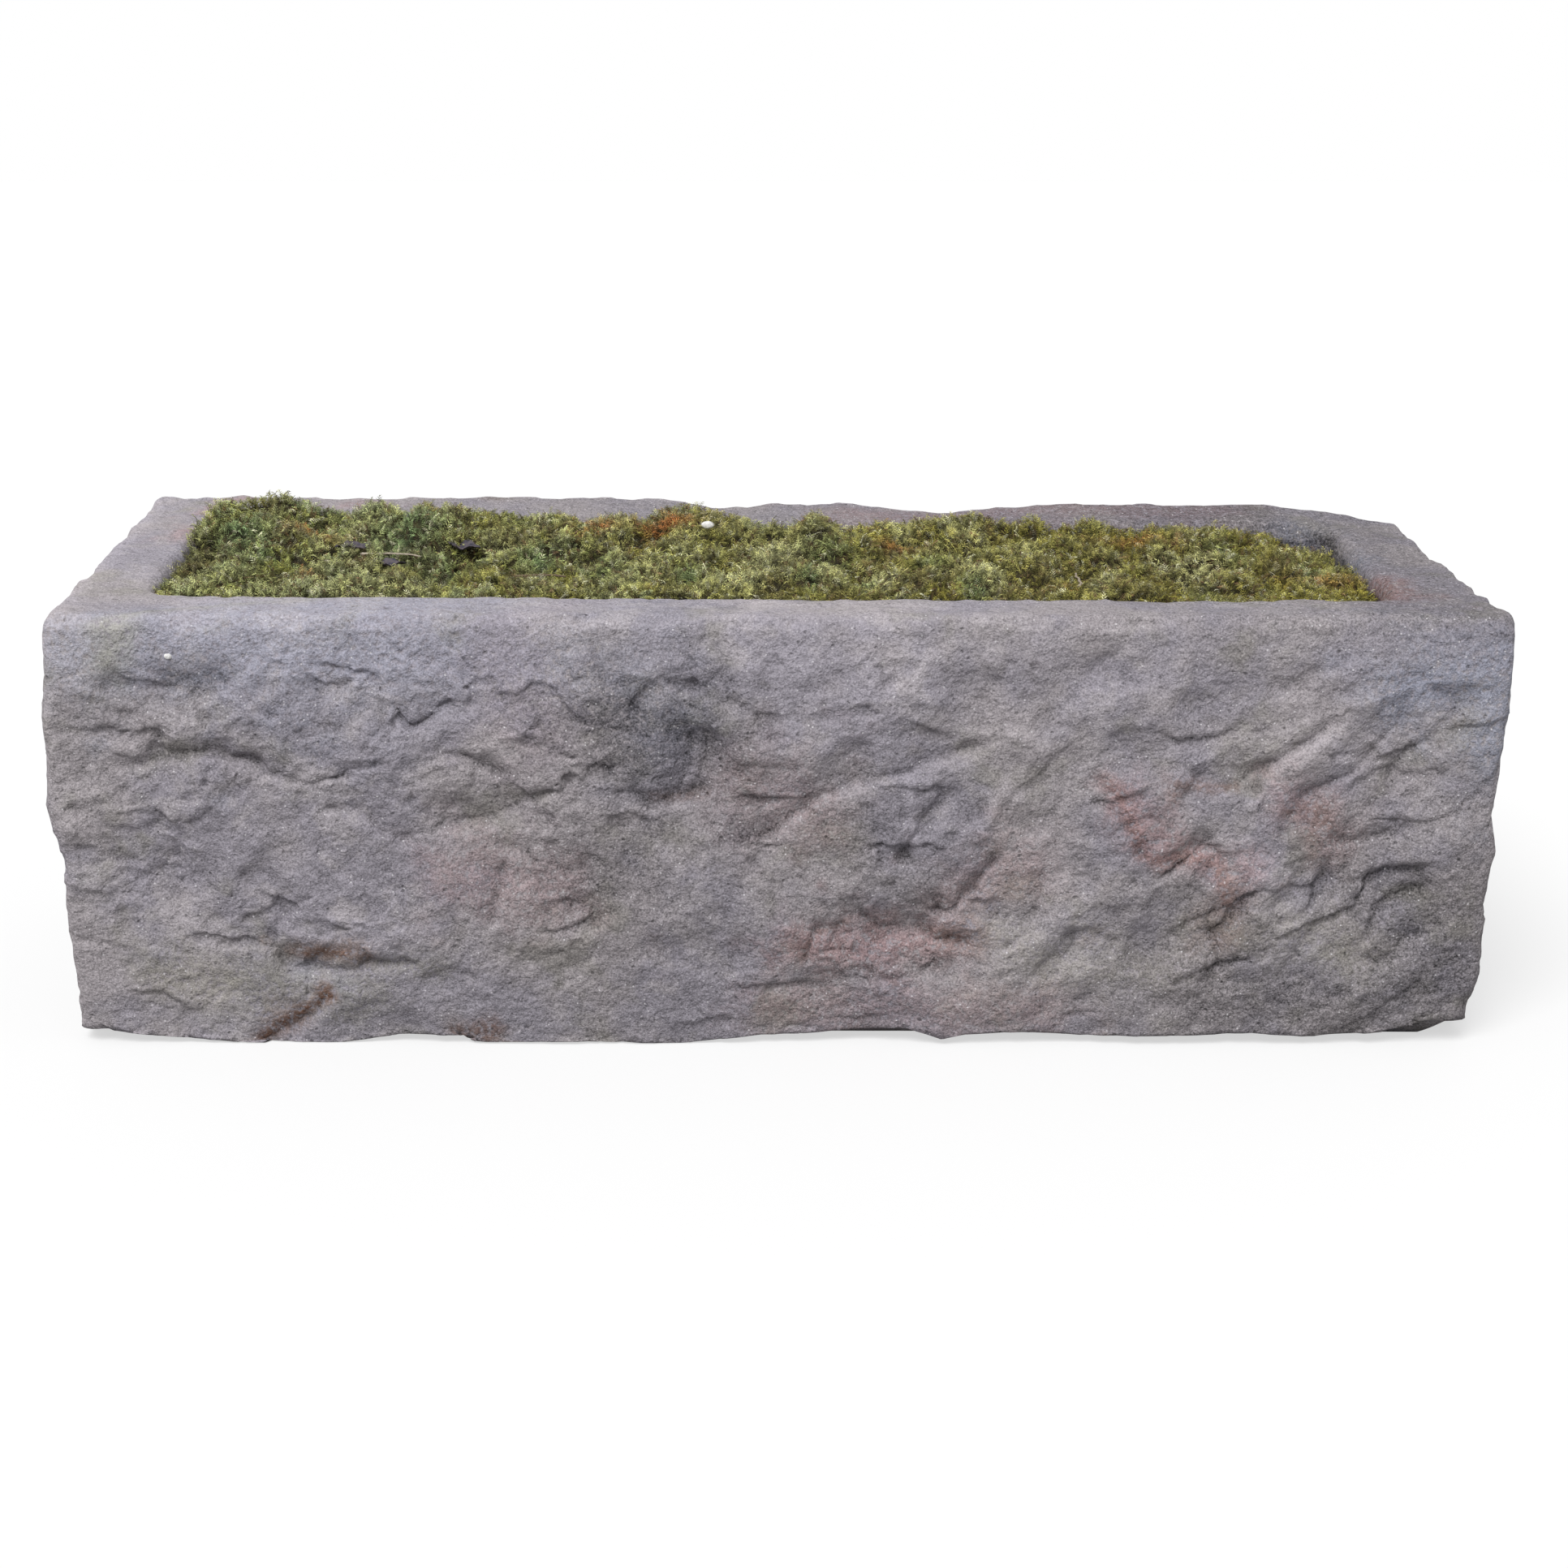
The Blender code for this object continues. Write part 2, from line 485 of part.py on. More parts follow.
def make_block():
    """A plain block, cut into a grid and weathered into the rock-faced stone."""
    block = bmesh.new()
    bmesh.ops.create_cube(block, size=1.0)
    bmesh.ops.scale(block, verts=block.verts, vec=(TROUGH_LENGTH, TROUGH_DEPTH, FRONT_HEIGHT))
    bmesh.ops.translate(block, verts=block.verts, vec=(0, 0, FRONT_HEIGHT / 2))
    slice_across(block, 0, rimmed_stations(HALF_LENGTH, ARRIS_RADIUS, GRID_SPACING))
    slice_across(block, 1, rimmed_stations(HALF_DEPTH, ARRIS_RADIUS, GRID_SPACING))
    rim_core = FRONT_HEIGHT - ARRIS_RADIUS
    levels = even_stations(0.0, rim_core, GRID_SPACING) + [rim_core, FRONT_HEIGHT - ARRIS_RADIUS * 0.3]
    slice_across(block, 2, levels)
    set_places(block, weather(get_places(block)))
    under = [face for face in block.faces if max(vertex.co.z for vertex in face.verts) < SEAT_GAP]
    bmesh.ops.dissolve_faces(block, faces=under)
    return block


def inset_at(height):
    """How far the cavity's walls have leaned in below its mouth at a height."""
    return CAVITY_DRAFT * np.clip((FRONT_HEIGHT - height) / (FRONT_HEIGHT - FLOOR_THICKNESS), 0, 1)


def lean_walls(mesh_data, clearance):
    """Moves each upright wall of a block in by the cavity's lean at its height, and by a clearance."""
    for vertex in mesh_data.verts:
        inset = inset_at(vertex.co.z) + clearance
        vertex.co.x -= math.copysign(inset, vertex.co.x)
        vertex.co.y -= math.copysign(inset, vertex.co.y)


def mouth_block(low, high):
    """An upright block of the cavity's mouth size, with its four standing edges rounded."""
    block = bmesh.new()
    bmesh.ops.create_cube(block, size=1.0)
    bmesh.ops.scale(block, verts=block.verts, vec=(2 * MOUTH_HALF_LENGTH, 2 * MOUTH_HALF_DEPTH, high - low))
    bmesh.ops.translate(block, verts=block.verts, vec=(0, 0, (low + high) / 2))
    standing = [edge for edge in block.edges if abs(edge.verts[0].co.z - edge.verts[1].co.z) > (high - low) / 2]
    bmesh.ops.bevel(block, geom=standing, offset=CAVITY_CORNER_RADIUS, segments=4, profile=0.5,
                    affect="EDGES")
    return block


def make_cavity_cutter(collection):
    """The hollow: leaning walls, rounded corners, and a worn lip that opens out at the rim."""
    cutter = mouth_block(FLOOR_THICKNESS, FRONT_HEIGHT + CUT_OVERRUN)
    lip_foot = FRONT_HEIGHT - LIP_RADIUS
    slice_across(cutter, 0, even_stations(-MOUTH_HALF_LENGTH, MOUTH_HALF_LENGTH, GRID_SPACING * 2))
    slice_across(cutter, 2, [COMPOST_TOP + LIP_RADIUS * 2, lip_foot, lip_foot + LIP_RADIUS * 0.5,
                             lip_foot + LIP_RADIUS * 0.85, FRONT_HEIGHT])
    places = get_places(cutter)
    lift = rim_lift(places, COMPOST_TOP + LIP_RADIUS * 2)
    rise = np.clip((places[:, 2] - lip_foot) / LIP_RADIUS, 0, 1)
    flare = LIP_RADIUS * (1 - np.sqrt(1 - rise ** 2))
    inset = inset_at(places[:, 2]) - flare
    at_side = np.abs(places[:, 0]) > MOUTH_HALF_LENGTH - CAVITY_CORNER_RADIUS * 1.001
    places[:, 0] -= np.where(at_side, np.sign(places[:, 0]) * inset, 0)
    places[:, 1] -= np.sign(places[:, 1]) * inset
    places[:, 2] += lift
    set_places(cutter, places)
    return as_cutter(object_from(cutter, "cavity_cutter", None, collection))


def make_drain_cutter(collection):
    """The drain hole, straight down through the middle of the floor."""
    cutter = bmesh.new()
    bmesh.ops.create_cone(cutter, cap_ends=True, segments=20, radius1=DRAIN_RADIUS, radius2=DRAIN_RADIUS,
                          depth=FLOOR_THICKNESS + 2 * CUT_OVERRUN)
    bmesh.ops.translate(cutter, verts=cutter.verts, vec=(0, 0, FLOOR_THICKNESS / 2))
    return as_cutter(object_from(cutter, "drain_cutter", None, collection))


def make_trough(parts, cutters):
    """The trough itself, one stone, hollowed and drained."""
    stone = make_material("sandstone", (0.235, 0.205, 0.225), 0.9)
    trough = object_from(make_block(), "stone_trough", stone, parts)
    cut_away(trough, make_cavity_cutter(cutters))
    cut_away(trough, make_drain_cutter(cutters))


# The drainage layers and the compost

def crock_axis_height(scale):
    """How high a crock's own axis lies when its two long edges stand on the floor."""
    inner = (CROCK_RADIUS - CROCK_THICKNESS) * scale
    return FLOOR_THICKNESS + SEAT_GAP - inner * math.cos(math.radians(CROCK_ARC_DEGREES / 2))


def crock_place(row):
    """Where a crock's axis is and how it is turned."""
    along, across, scale, turn = row
    floor_half_length = MOUTH_HALF_LENGTH - CAVITY_DRAFT
    floor_half_depth = MOUTH_HALF_DEPTH - CAVITY_DRAFT
    place = (along * floor_half_length, across * floor_half_depth, crock_axis_height(scale))
    return place, math.radians(turn)


def make_crock(name, row, material, collection):
    """A curved shard of a clay pot, arched over the floor: part of a turned wall, given its thickness."""
    scale = row[2]
    inner = (CROCK_RADIUS - CROCK_THICKNESS) * scale
    half_length = CROCK_LENGTH * scale / 2
    half_arc = math.radians(CROCK_ARC_DEGREES / 2)
    wall = bmesh.new()
    ends = [wall.verts.new((inner * math.sin(-half_arc), y, inner * math.cos(half_arc)))
            for y in (half_length, -half_length)]
    wall.edges.new(ends)
    crock = object_from(wall, name, material, collection)
    turned = crock.modifiers.new("turned", "SCREW")
    turned.axis = "Y"
    turned.angle = 2 * half_arc
    turned.steps = 10
    turned.render_steps = 10
    turned.use_merge_vertices = False
    turned.merge_threshold = 0.0001
    thickness = crock.modifiers.new("thickness", "SOLIDIFY")
    thickness.thickness = CROCK_THICKNESS * scale
    thickness.offset = 1.0
    crock.location, crock.rotation_euler.z = crock_place(row)
    return crock


def make_crock_cutter(name, row, collection):
    """The room that a crock takes out of the gravel: a cylinder round its outside, down to the floor."""
    scale = row[2]
    cutter = bmesh.new()
    bmesh.ops.create_cone(cutter, cap_ends=True, segments=40, radius1=CROCK_RADIUS * scale + 2 * SEAT_GAP,
                          radius2=CROCK_RADIUS * scale + 2 * SEAT_GAP, depth=CROCK_LENGTH * scale + 2 * SEAT_GAP)
    piece = as_cutter(object_from(cutter, name, None, collection))
    piece.location, turn = crock_place(row)
    piece.rotation_euler = (math.radians(90), 0, turn)
    return piece


def make_drainage(parts, cutters):
    """Crocks over and beside the drain hole, with the gravel laid round and over them."""
    clay = make_material("terracotta", (0.42, 0.17, 0.09), 0.85)
    shingle = make_material("gravel", (0.30, 0.27, 0.24), 0.85)
    gravel = mouth_block(FLOOR_THICKNESS + SEAT_GAP, GRAVEL_TOP)
    lean_walls(gravel, SEAT_GAP)
    gravel = object_from(gravel, "drainage_gravel", shingle, parts)
    for number, row in enumerate(CROCK_SHARES, 1):
        make_crock("drain_crock_%d" % number, row, clay, parts)
        cut_away(gravel, make_crock_cutter("crock_cutter_%d" % number, row, cutters))


def compost_height(x, y):
    """The height of the compost, a plane that leans up to the left end and to the back."""
    return COMPOST_TOP - COMPOST_LEAN * x / MOUTH_HALF_LENGTH + COMPOST_BACK_RISE * y / MOUTH_HALF_DEPTH


def make_compost(parts):
    """The compost that fills the hollow from the gravel up to just under the moss."""
    soil = make_material("compost", (0.045, 0.028, 0.018), 1.0)
    compost = mouth_block(GRAVEL_TOP + SEAT_GAP, COMPOST_TOP)
    for vertex in compost.verts:
        if vertex.co.z > (GRAVEL_TOP + COMPOST_TOP) / 2:
            vertex.co.z = compost_height(vertex.co.x, vertex.co.y)
    lean_walls(compost, SEAT_GAP)
    for vertex in compost.verts:
        if vertex.co.z > (GRAVEL_TOP + COMPOST_TOP) / 2:
            vertex.co.z = compost_height(vertex.co.x, vertex.co.y)
    object_from(compost, "compost_bed", soil, parts)


# The moss

BED_INSET = CAVITY_DRAFT * (COMPOST_DROP + COMPOST_LEAN + COMPOST_BACK_RISE) / (FRONT_HEIGHT - FLOOR_THICKNESS)
BED_HALF_LENGTH = MOUTH_HALF_LENGTH - BED_INSET - MOSS_EDGE_GAP
BED_HALF_DEPTH = MOUTH_HALF_DEPTH - BED_INSET - MOSS_EDGE_GAP


def moss_middles():
    """The middle of each cushion on the bed, and the height of its crown."""
    shares = np.array(MOSS_SHARES)
    middles = shares[:, :2] * np.array((BED_HALF_LENGTH, BED_HALF_DEPTH))
    return middles, FRONT_HEIGHT + shares[:, 2] * MOSS_RISE


def neighbour_planes(number, middles):
    """The upright planes half a split short of half way to each other cushion, as points and normals."""
    here = middles[number]
    planes = []
    for other, there in enumerate(middles):
        if other != number:
            normal = (there - here) / np.linalg.norm(there - here)
            planes.append(((here + there) / 2 - normal * MOSS_SPLIT / 2, normal))
    return planes


def edge_distance(x, y, planes):
    """How far a point is inside the nearest side of its cushion, or of the bed."""
    nearest = np.minimum(BED_HALF_LENGTH - np.abs(x), BED_HALF_DEPTH - np.abs(y))
    for place, normal in planes:
        nearest = np.minimum(nearest, (place[0] - x) * normal[0] + (place[1] - y) * normal[1])
    return np.maximum(nearest, 0)


def crown_height(x, y, middles, crowns):
    """The crowns' heights blended: each cushion counts by exp(-(distance to its middle / spread)^2)."""
    away = np.hypot(x[:, None] - middles[:, 0], y[:, None] - middles[:, 1]) / CROWN_SPREAD
    weight = np.exp(-away ** 2)
    return (weight * crowns).sum(axis=1) / weight.sum(axis=1)


def moss_height(x, y, crown, planes):
    """
    The top of a cushion: from its side share of the thickness at the sides up to the crown, by 1 - (1 - d)^2
    with d the share of the shoulder's width from the nearest side, and small lumps over it.
    """
    base = compost_height(x, y)
    inward = np.clip(edge_distance(x, y, planes) / MOSS_SHOULDER, 0, 1)
    dome = 1 - (1 - inward) ** 2
    places = np.stack((x, y, crown), axis=1)
    lumps = MOSS_LUMP * soft_noise(places, MOSS_LUMP_SIZE, 17) * dome
    return base + (crown - base) * (MOSS_SIDE_SHARE + (1 - MOSS_SIDE_SHARE) * dome) + lumps


def make_moss_cushion(number, middles, crowns, material, collection):
    """One cushion: the bed's block cut by the planes to its neighbours, its top raised to a crown."""
    cushion = bmesh.new()
    bmesh.ops.create_cube(cushion, size=1.0)
    bmesh.ops.scale(cushion, verts=cushion.verts, vec=(2 * BED_HALF_LENGTH, 2 * BED_HALF_DEPTH, MOSS_RISE))
    standing = [edge for edge in cushion.edges
                if abs(edge.verts[0].co.z - edge.verts[1].co.z) > MOSS_RISE / 2]
    bmesh.ops.bevel(cushion, geom=standing, offset=CAVITY_CORNER_RADIUS, segments=3, profile=0.5,
                    affect="EDGES")
    planes = neighbour_planes(number, middles)
    for place, normal in planes:
        whole = cushion.verts[:] + cushion.edges[:] + cushion.faces[:]
        bmesh.ops.bisect_plane(cushion, geom=whole, plane_co=(*place, 0), plane_no=(*normal, 0),
                               clear_outer=True)
        open_edges = [edge for edge in cushion.edges if edge.is_boundary]
        if open_edges:
            bmesh.ops.holes_fill(cushion, edges=open_edges)
    places = get_places(cushion)
    for axis in (0, 1):
        slice_across(cushion, axis, even_stations(places[:, axis].min(), places[:, axis].max(),
                                                  MOSS_GRID_SPACING))
    places = get_places(cushion)
    top = places[:, 2] > 0
    base = compost_height(places[:, 0], places[:, 1]) + SEAT_GAP
    crown = crown_height(places[:, 0], places[:, 1], middles, crowns)
    places[:, 2] = np.where(top, moss_height(places[:, 0], places[:, 1], crown, planes), base)
    set_places(cushion, places)
    bmesh.ops.recalc_face_normals(cushion, faces=cushion.faces)
    return object_from(cushion, "moss_cushion_%02d" % (number + 1), material, collection, 80.0)


def make_moss(parts):
    """The cushions of moss that cover the bed from wall to wall."""
    green = make_material("moss", (0.17, 0.16, 0.045), 1.0)
    middles, crowns = moss_middles()
    return [make_moss_cushion(number, middles, crowns, green, parts) for number in range(len(middles))]


# What lies on the moss

def world_tree(pieces):
    """A search tree over the finished surfaces of some pieces, where they stand."""
    depsgraph = bpy.context.evaluated_depsgraph_get()
    vertices = []
    faces = []
    for piece in pieces:
        finished = piece.evaluated_get(depsgraph)
        mesh = finished.to_mesh()
        start = len(vertices)
        vertices += [finished.matrix_world @ vertex.co for vertex in mesh.vertices]
        mesh.calc_loop_triangles()
        faces += [[start + corner for corner in face.vertices] for face in mesh.loop_triangles]
        finished.to_mesh_clear()
    return BVHTree.FromPolygons(vertices, faces), vertices


def seat_on(piece, carrier_tree):
    """Lowers a piece straight down until it lies the litter gap over the highest place that meets it."""
    bpy.context.view_layer.update()
    tree, vertices = world_tree([piece])
    far = TROUGH_LENGTH
    spans = []
    for axis in (0, 1):
        low = min(vertex[axis] for vertex in vertices)
        high = max(vertex[axis] for vertex in vertices)
        spans.append(np.linspace(low, high, max(round((high - low) / SEAT_SAMPLE), 2)))
    nearest = far
    for x in spans[0]:
        for y in spans[1]:
            under = tree.ray_cast(Vector((x, y, -far)), Vector((0, 0, 1)))[0]
            top = carrier_tree.ray_cast(Vector((x, y, far)), Vector((0, 0, -1)))[0]
            if under is not None and top is not None:
                nearest = min(nearest, under.z - top.z)
    piece.location.z -= nearest - LITTER_GAP


def bed_place(along, across):
    """A place on the bed from its shares of the half length and half depth."""
    return (along * BED_HALF_LENGTH, across * BED_HALF_DEPTH, FRONT_HEIGHT)


def make_pebble(parts):
    """A small white pebble: a sphere drawn into an uneven oval."""
    white = make_material("pebble", (0.72, 0.71, 0.70), 0.6)
    pebble = bmesh.new()
    bmesh.ops.create_icosphere(pebble, subdivisions=2, radius=0.5)
    places = get_places(pebble)
    bumps = 1 + 0.12 * soft_noise(places, 0.45, 41)
    set_places(pebble, places * bumps[:, None] * PEBBLE_LENGTH * np.array((1.0, 0.75, 0.6)))
    piece = object_from(pebble, "white_pebble", white, parts)
    piece.location = bed_place(*PEBBLE_SHARES)
    return piece


def make_leaf(name, row, material, collection):
    """A dead leaf: a flat grid drawn to a leaf's outline, curled along and across, with its thickness."""
    along, across, scale, turn = row
    leaf = bmesh.new()
    bmesh.ops.create_grid(leaf, x_segments=6, y_segments=4, size=0.5)
    places = get_places(leaf)
    length = LEAF_LENGTH * scale
    forward = places[:, 0]
    sideways = places[:, 1] * (0.12 + 0.5 * np.cos(math.pi * forward * 0.9) ** 0.8)
    curl = 1.1 * sideways ** 2 + 0.25 * forward ** 2 + 0.05 * np.sin(7 * forward + 9 * sideways)
    set_places(leaf, np.stack((forward, sideways, curl), axis=1) * length)
    piece = object_from(leaf, name, material, collection)
    thickness = piece.modifiers.new("thickness", "SOLIDIFY")
    thickness.thickness = LEAF_THICKNESS
    thickness.offset = 0.0
    piece.location = bed_place(along, across)
    piece.rotation_euler.z = math.radians(turn)
    return piece


def make_stem(name, row, material, collection):
    """A dry stem: a thin round tube along a gently bowed line."""
    along, across, scale, turn = row
    curve = bpy.data.curves.new(name, "CURVE")
    curve.dimensions = "3D"
    curve.bevel_depth = STEM_RADIUS
    curve.bevel_resolution = 1
    curve.use_fill_caps = True
    spline = curve.splines.new("POLY")
    steps = 7
    spline.points.add(steps - 1)
    length = STEM_LENGTH * scale
    for number, point in enumerate(spline.points):
        share = number / (steps - 1) - 0.5
        bow = 0.10 * (0.25 - share * share)
        point.co = (share * length, math.sin(share * 5) * 0.04 * length, bow * length, 1.0)
    curve.materials.append(material)
    piece = bpy.data.objects.new(name, curve)
    collection.objects.link(piece)
    piece.location = bed_place(along, across)
    piece.rotation_euler.z = math.radians(turn)
    return piece


def make_litter(parts, cushions):
    """The pebble, dead leaves and dry stems, each lowered on to the moss and what already lies there."""
    dead = make_material("dead_leaf", (0.075, 0.055, 0.070), 0.9)
    straw = make_material("dry_stem", (0.40, 0.33, 0.24), 0.9)
    bpy.context.view_layer.update()
    moss_tree = world_tree(cushions)[0]
    seat_on(make_pebble(parts), moss_tree)
    for number, row in enumerate(LEAF_SHARES, 1):
        seat_on(make_leaf("dead_leaf_%d" % number, row, dead, parts), moss_tree)
    for number, row in enumerate(STEM_SHARES, 1):
        seat_on(make_stem("dry_stem_%d" % number, row, straw, parts), moss_tree)


def main():
    clear_scene()
    parts = bpy.data.collections.new("stone_trough_planter")
    cutters = bpy.data.collections.new("cutters")
    for collection in (parts, cutters):
        bpy.context.scene.collection.children.link(collection)
    make_trough(parts, cutters)
    make_drainage(parts, cutters)
    make_compost(parts)
    cushions = make_moss(parts)
    make_litter(parts, cushions)


main()
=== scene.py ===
"""
The looks of a planted stone trough: weathered rock-faced sandstone, feathery moss, and the litter on it.

+X runs along the trough, the front looks to -Y and +Z is up, in metres. A value or table whose name ends in
share or shares is a part of the length it follows.
"""
import math

import bpy
import numpy as np
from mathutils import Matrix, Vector


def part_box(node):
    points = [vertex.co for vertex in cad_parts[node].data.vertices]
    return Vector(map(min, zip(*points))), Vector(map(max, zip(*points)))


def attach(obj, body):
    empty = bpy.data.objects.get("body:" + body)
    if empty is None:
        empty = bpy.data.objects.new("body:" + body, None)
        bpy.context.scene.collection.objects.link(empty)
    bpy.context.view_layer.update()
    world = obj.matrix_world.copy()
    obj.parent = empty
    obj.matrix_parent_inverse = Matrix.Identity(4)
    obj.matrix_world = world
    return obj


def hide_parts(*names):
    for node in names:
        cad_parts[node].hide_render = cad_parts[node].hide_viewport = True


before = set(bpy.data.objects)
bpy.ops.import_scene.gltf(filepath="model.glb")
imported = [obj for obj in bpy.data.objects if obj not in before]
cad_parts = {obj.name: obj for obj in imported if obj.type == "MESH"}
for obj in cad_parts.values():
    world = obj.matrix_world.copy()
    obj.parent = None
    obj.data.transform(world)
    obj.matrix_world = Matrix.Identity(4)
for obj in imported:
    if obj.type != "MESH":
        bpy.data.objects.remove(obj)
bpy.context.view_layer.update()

# The block of stone
TROUGH_LENGTH = 1.536
TROUGH_DEPTH = 0.530
FRONT_HEIGHT = 0.477
END_BULGE = 0.018
FACE_BULGE = 0.010
BACK_RISE = 0.025
ARRIS_RADIUS = 0.018
BASE_CHIP = 0.028
CHIP_REACH = 0.040
CHIP_CLIMB = 0.080
LEAST_CHIP_SHARE = 0.05
WALL_THICKNESS = 0.090
FLOOR_THICKNESS = 0.140
CAVITY_DRAFT = 0.030
CAVITY_CORNER_RADIUS = 0.032
LIP_RADIUS = 0.014
DRAIN_RADIUS = 0.018

# The rock face
SCAR_SIZE = 0.150
SCAR_FLATNESS_SHARE = 1.3
SCAR_LIFT_SHARE = 0.25
SCAR_DEPTH = 0.013
CHIP_SIZE = 0.062
CHIP_DEPTH = 0.0045
FLAKE_SIZE = 0.027
FLAKE_DEPTH = 0.0015
PLATE_SIZE = 0.050
PLATE_DEPTH = 0.0021
SPLINTER_SIZE = 0.020
SPLINTER_DEPTH = 0.0009
PLATE_FLATNESS_SHARE = 1.7
JAG_SIZE = 0.013
JAG_REACH = 0.0045
LUMP_SIZE = 0.048
LUMP_DEPTH = 0.0028
BILLOW_WIDTH = 0.048
BILLOW_LENGTH = 0.090
BILLOW_DEPTH = 0.0055
BILLOW_TURN_DEGREES = 50.0
BILLOW_CALM_SHARE = 0.45
ROUGH_SIZE = 0.110
SWELL_SIZE = 0.240
SWELL_DEPTH = 0.006
BED_HEIGHT = 0.058
BED_DEPTH = 0.004
LEDGE_DROP = 0.013
LEDGE_REACH = 0.040
LEDGE_EDGE = 0.006
LEDGE_FADE_SHARE = 0.3
PROUD_LIMIT = 0.004
LEFT_FILL = 0.004
RIGHT_FILL = 0.012
FILL_LIMIT = 0.003
CORNER_REACH = 0.070
CORNER_SHARE = 0.35
MARGIN_HEIGHT = 0.060
MARGIN_SHARE = 0.14
FOOT_HEIGHT = 0.120
FOOT_SHARE = 0.55
WEAR_SIZE = 0.070
WEAR_DEPTH = 0.0018
ARRIS_WEAR_SIZE = 0.030
ARRIS_WEAR_DEPTH = 0.005

# How the patterns of the rock face are mixed, jittered, tilted and faded
MIXING_PRIMES = (73856093, 19349663, 83492791, 49979687)
MIXING_FACTOR = 1274126177
SCAR_STEEPNESS = 1.7
SCAR_JITTER = 0.8
PLATE_JITTER = 0.9
SLANT_RISE = 0.300
BED_SLANT_SHARE = 0.7
PLATE_SLANT_SHARE = 0.6
PLATE_WARP_SHARE = 0.3
PLATE_JAG = 1.5
SPLINTER_JAG = 1.2
BED_JAG_SHARE = 0.6
LEDGE_WARP_SHARE = 0.10
LEDGE_JAG_SHARE = 0.7
BILLOW_START = 0.10
BILLOW_FULL = 0.40
BILLOW_LEVEL = 0.7
BILLOW_POWER = 0.7
BILLOW_SINK = 1.2
BED_NOISE_RANGE = (0.05, 0.45)
ROUGH_NOISE_RANGE = (-0.35, 0.30)
ROUGH_LEAST_SHARE = 0.35
MARGIN_WAVE_SHARE = 0.3
MARGIN_FADE_SHARES = (0.35, 1.25)
CHIP_MEAN_SHARE = 0.45
CHIP_SWING_SHARE = 0.55

# The bed of moss
COMPOST_DROP = 0.075
COMPOST_LEAN = 0.012
COMPOST_BACK_RISE = 0.008
MOSS_RISE = 0.040
CROWN_SPREAD = 0.080
MOSS_SHOULDER = 0.045
MOSS_EDGE_GAP = 0.004
MOSS_LUMP_SIZE = 0.045
MOSS_LUMP = 0.005

HALF_LENGTH = TROUGH_LENGTH / 2
HALF_DEPTH = TROUGH_DEPTH / 2
RIM_HALF_LENGTH = HALF_LENGTH - END_BULGE
RIM_HALF_DEPTH = HALF_DEPTH - FACE_BULGE
GIRTH = 4 * (HALF_LENGTH + HALF_DEPTH)
FRONT_UNITS = (2 * RIM_HALF_LENGTH, FRONT_HEIGHT)
RIM_UNITS = (2 * RIM_HALF_LENGTH, 2 * RIM_HALF_DEPTH)
MOUTH_HALF_LENGTH = RIM_HALF_LENGTH - WALL_THICKNESS
MOUTH_HALF_DEPTH = RIM_HALF_DEPTH - WALL_THICKNESS
COMPOST_TOP = FRONT_HEIGHT - COMPOST_DROP
HOLLOW_DEPTH = FRONT_HEIGHT - FLOOR_THICKNESS
BED_INSET = CAVITY_DRAFT * (COMPOST_DROP + COMPOST_LEAN + COMPOST_BACK_RISE) / HOLLOW_DEPTH
BED_HALF_LENGTH = MOUTH_HALF_LENGTH - BED_INSET - MOSS_EDGE_GAP
BED_HALF_DEPTH = MOUTH_HALF_DEPTH - BED_INSET - MOSS_EDGE_GAP

# How far the ends and the long faces swell out past the rim, up the height of the block
LEFT_END_SHARES = (
    (0.0, 0.35), (0.10, 0.25), (0.19, 0.45), (0.30, 0.75), (0.43, 0.5), (0.49, 0.5), (0.57, 1.15),
    (0.65, 0.85), (0.78, 0.9), (0.92, 0.5), (1.0, 0.4))
RIGHT_END_SHARES = (
    (0.0, 0.1), (0.06, 0.3), (0.14, 0.6), (0.30, 0.8), (0.34, 0.6), (0.47, 0.9), (0.55, 0.55), (0.63, 0.7),
    (0.78, 1.05), (0.92, 1.1), (1.0, 1.0))
LONG_FACE_SHARES = (
    (0.0, -0.3), (0.12, 0.2), (0.35, 0.6), (0.7, 0.65), (0.87, 0.4), (1.0, 0.0))

# How high the back rim stands over the front one, along the length
BACK_SKYLINE_SHARES = (
    (-0.50, 1.02), (-0.44, 1.08), (-0.31, 1.02), (-0.21, 1.12), (-0.13, 1.08), (-0.09, 0.94), (-0.05, 0.62),
    (0.0, 0.76), (0.05, 0.84), (0.10, 0.54), (0.14, 0.34), (0.18, 0.68), (0.28, 0.82), (0.40, 0.70),
    (0.45, 0.36), (0.50, -0.20))

# How high the lower front edge is chipped away, along the length
FRONT_CHIP_SHARES = (
    (-0.50, 0.90), (-0.488, 0.55), (-0.436, 0.25), (-0.383, 0.0), (-0.339, 0.0), (-0.289, 0.50),
    (-0.239, 0.52), (-0.225, 0.12), (-0.15, 0.20), (-0.073, 0.0), (-0.014, 0.52), (0.038, 0.66),
    (0.091, 0.95), (0.108, 1.0), (0.134, 0.38), (0.152, 0.66), (0.196, 0.80), (0.243, 0.56), (0.336, 0.66),
    (0.377, 0.78), (0.424, 0.56), (0.48, 0.80), (0.50, 1.6))

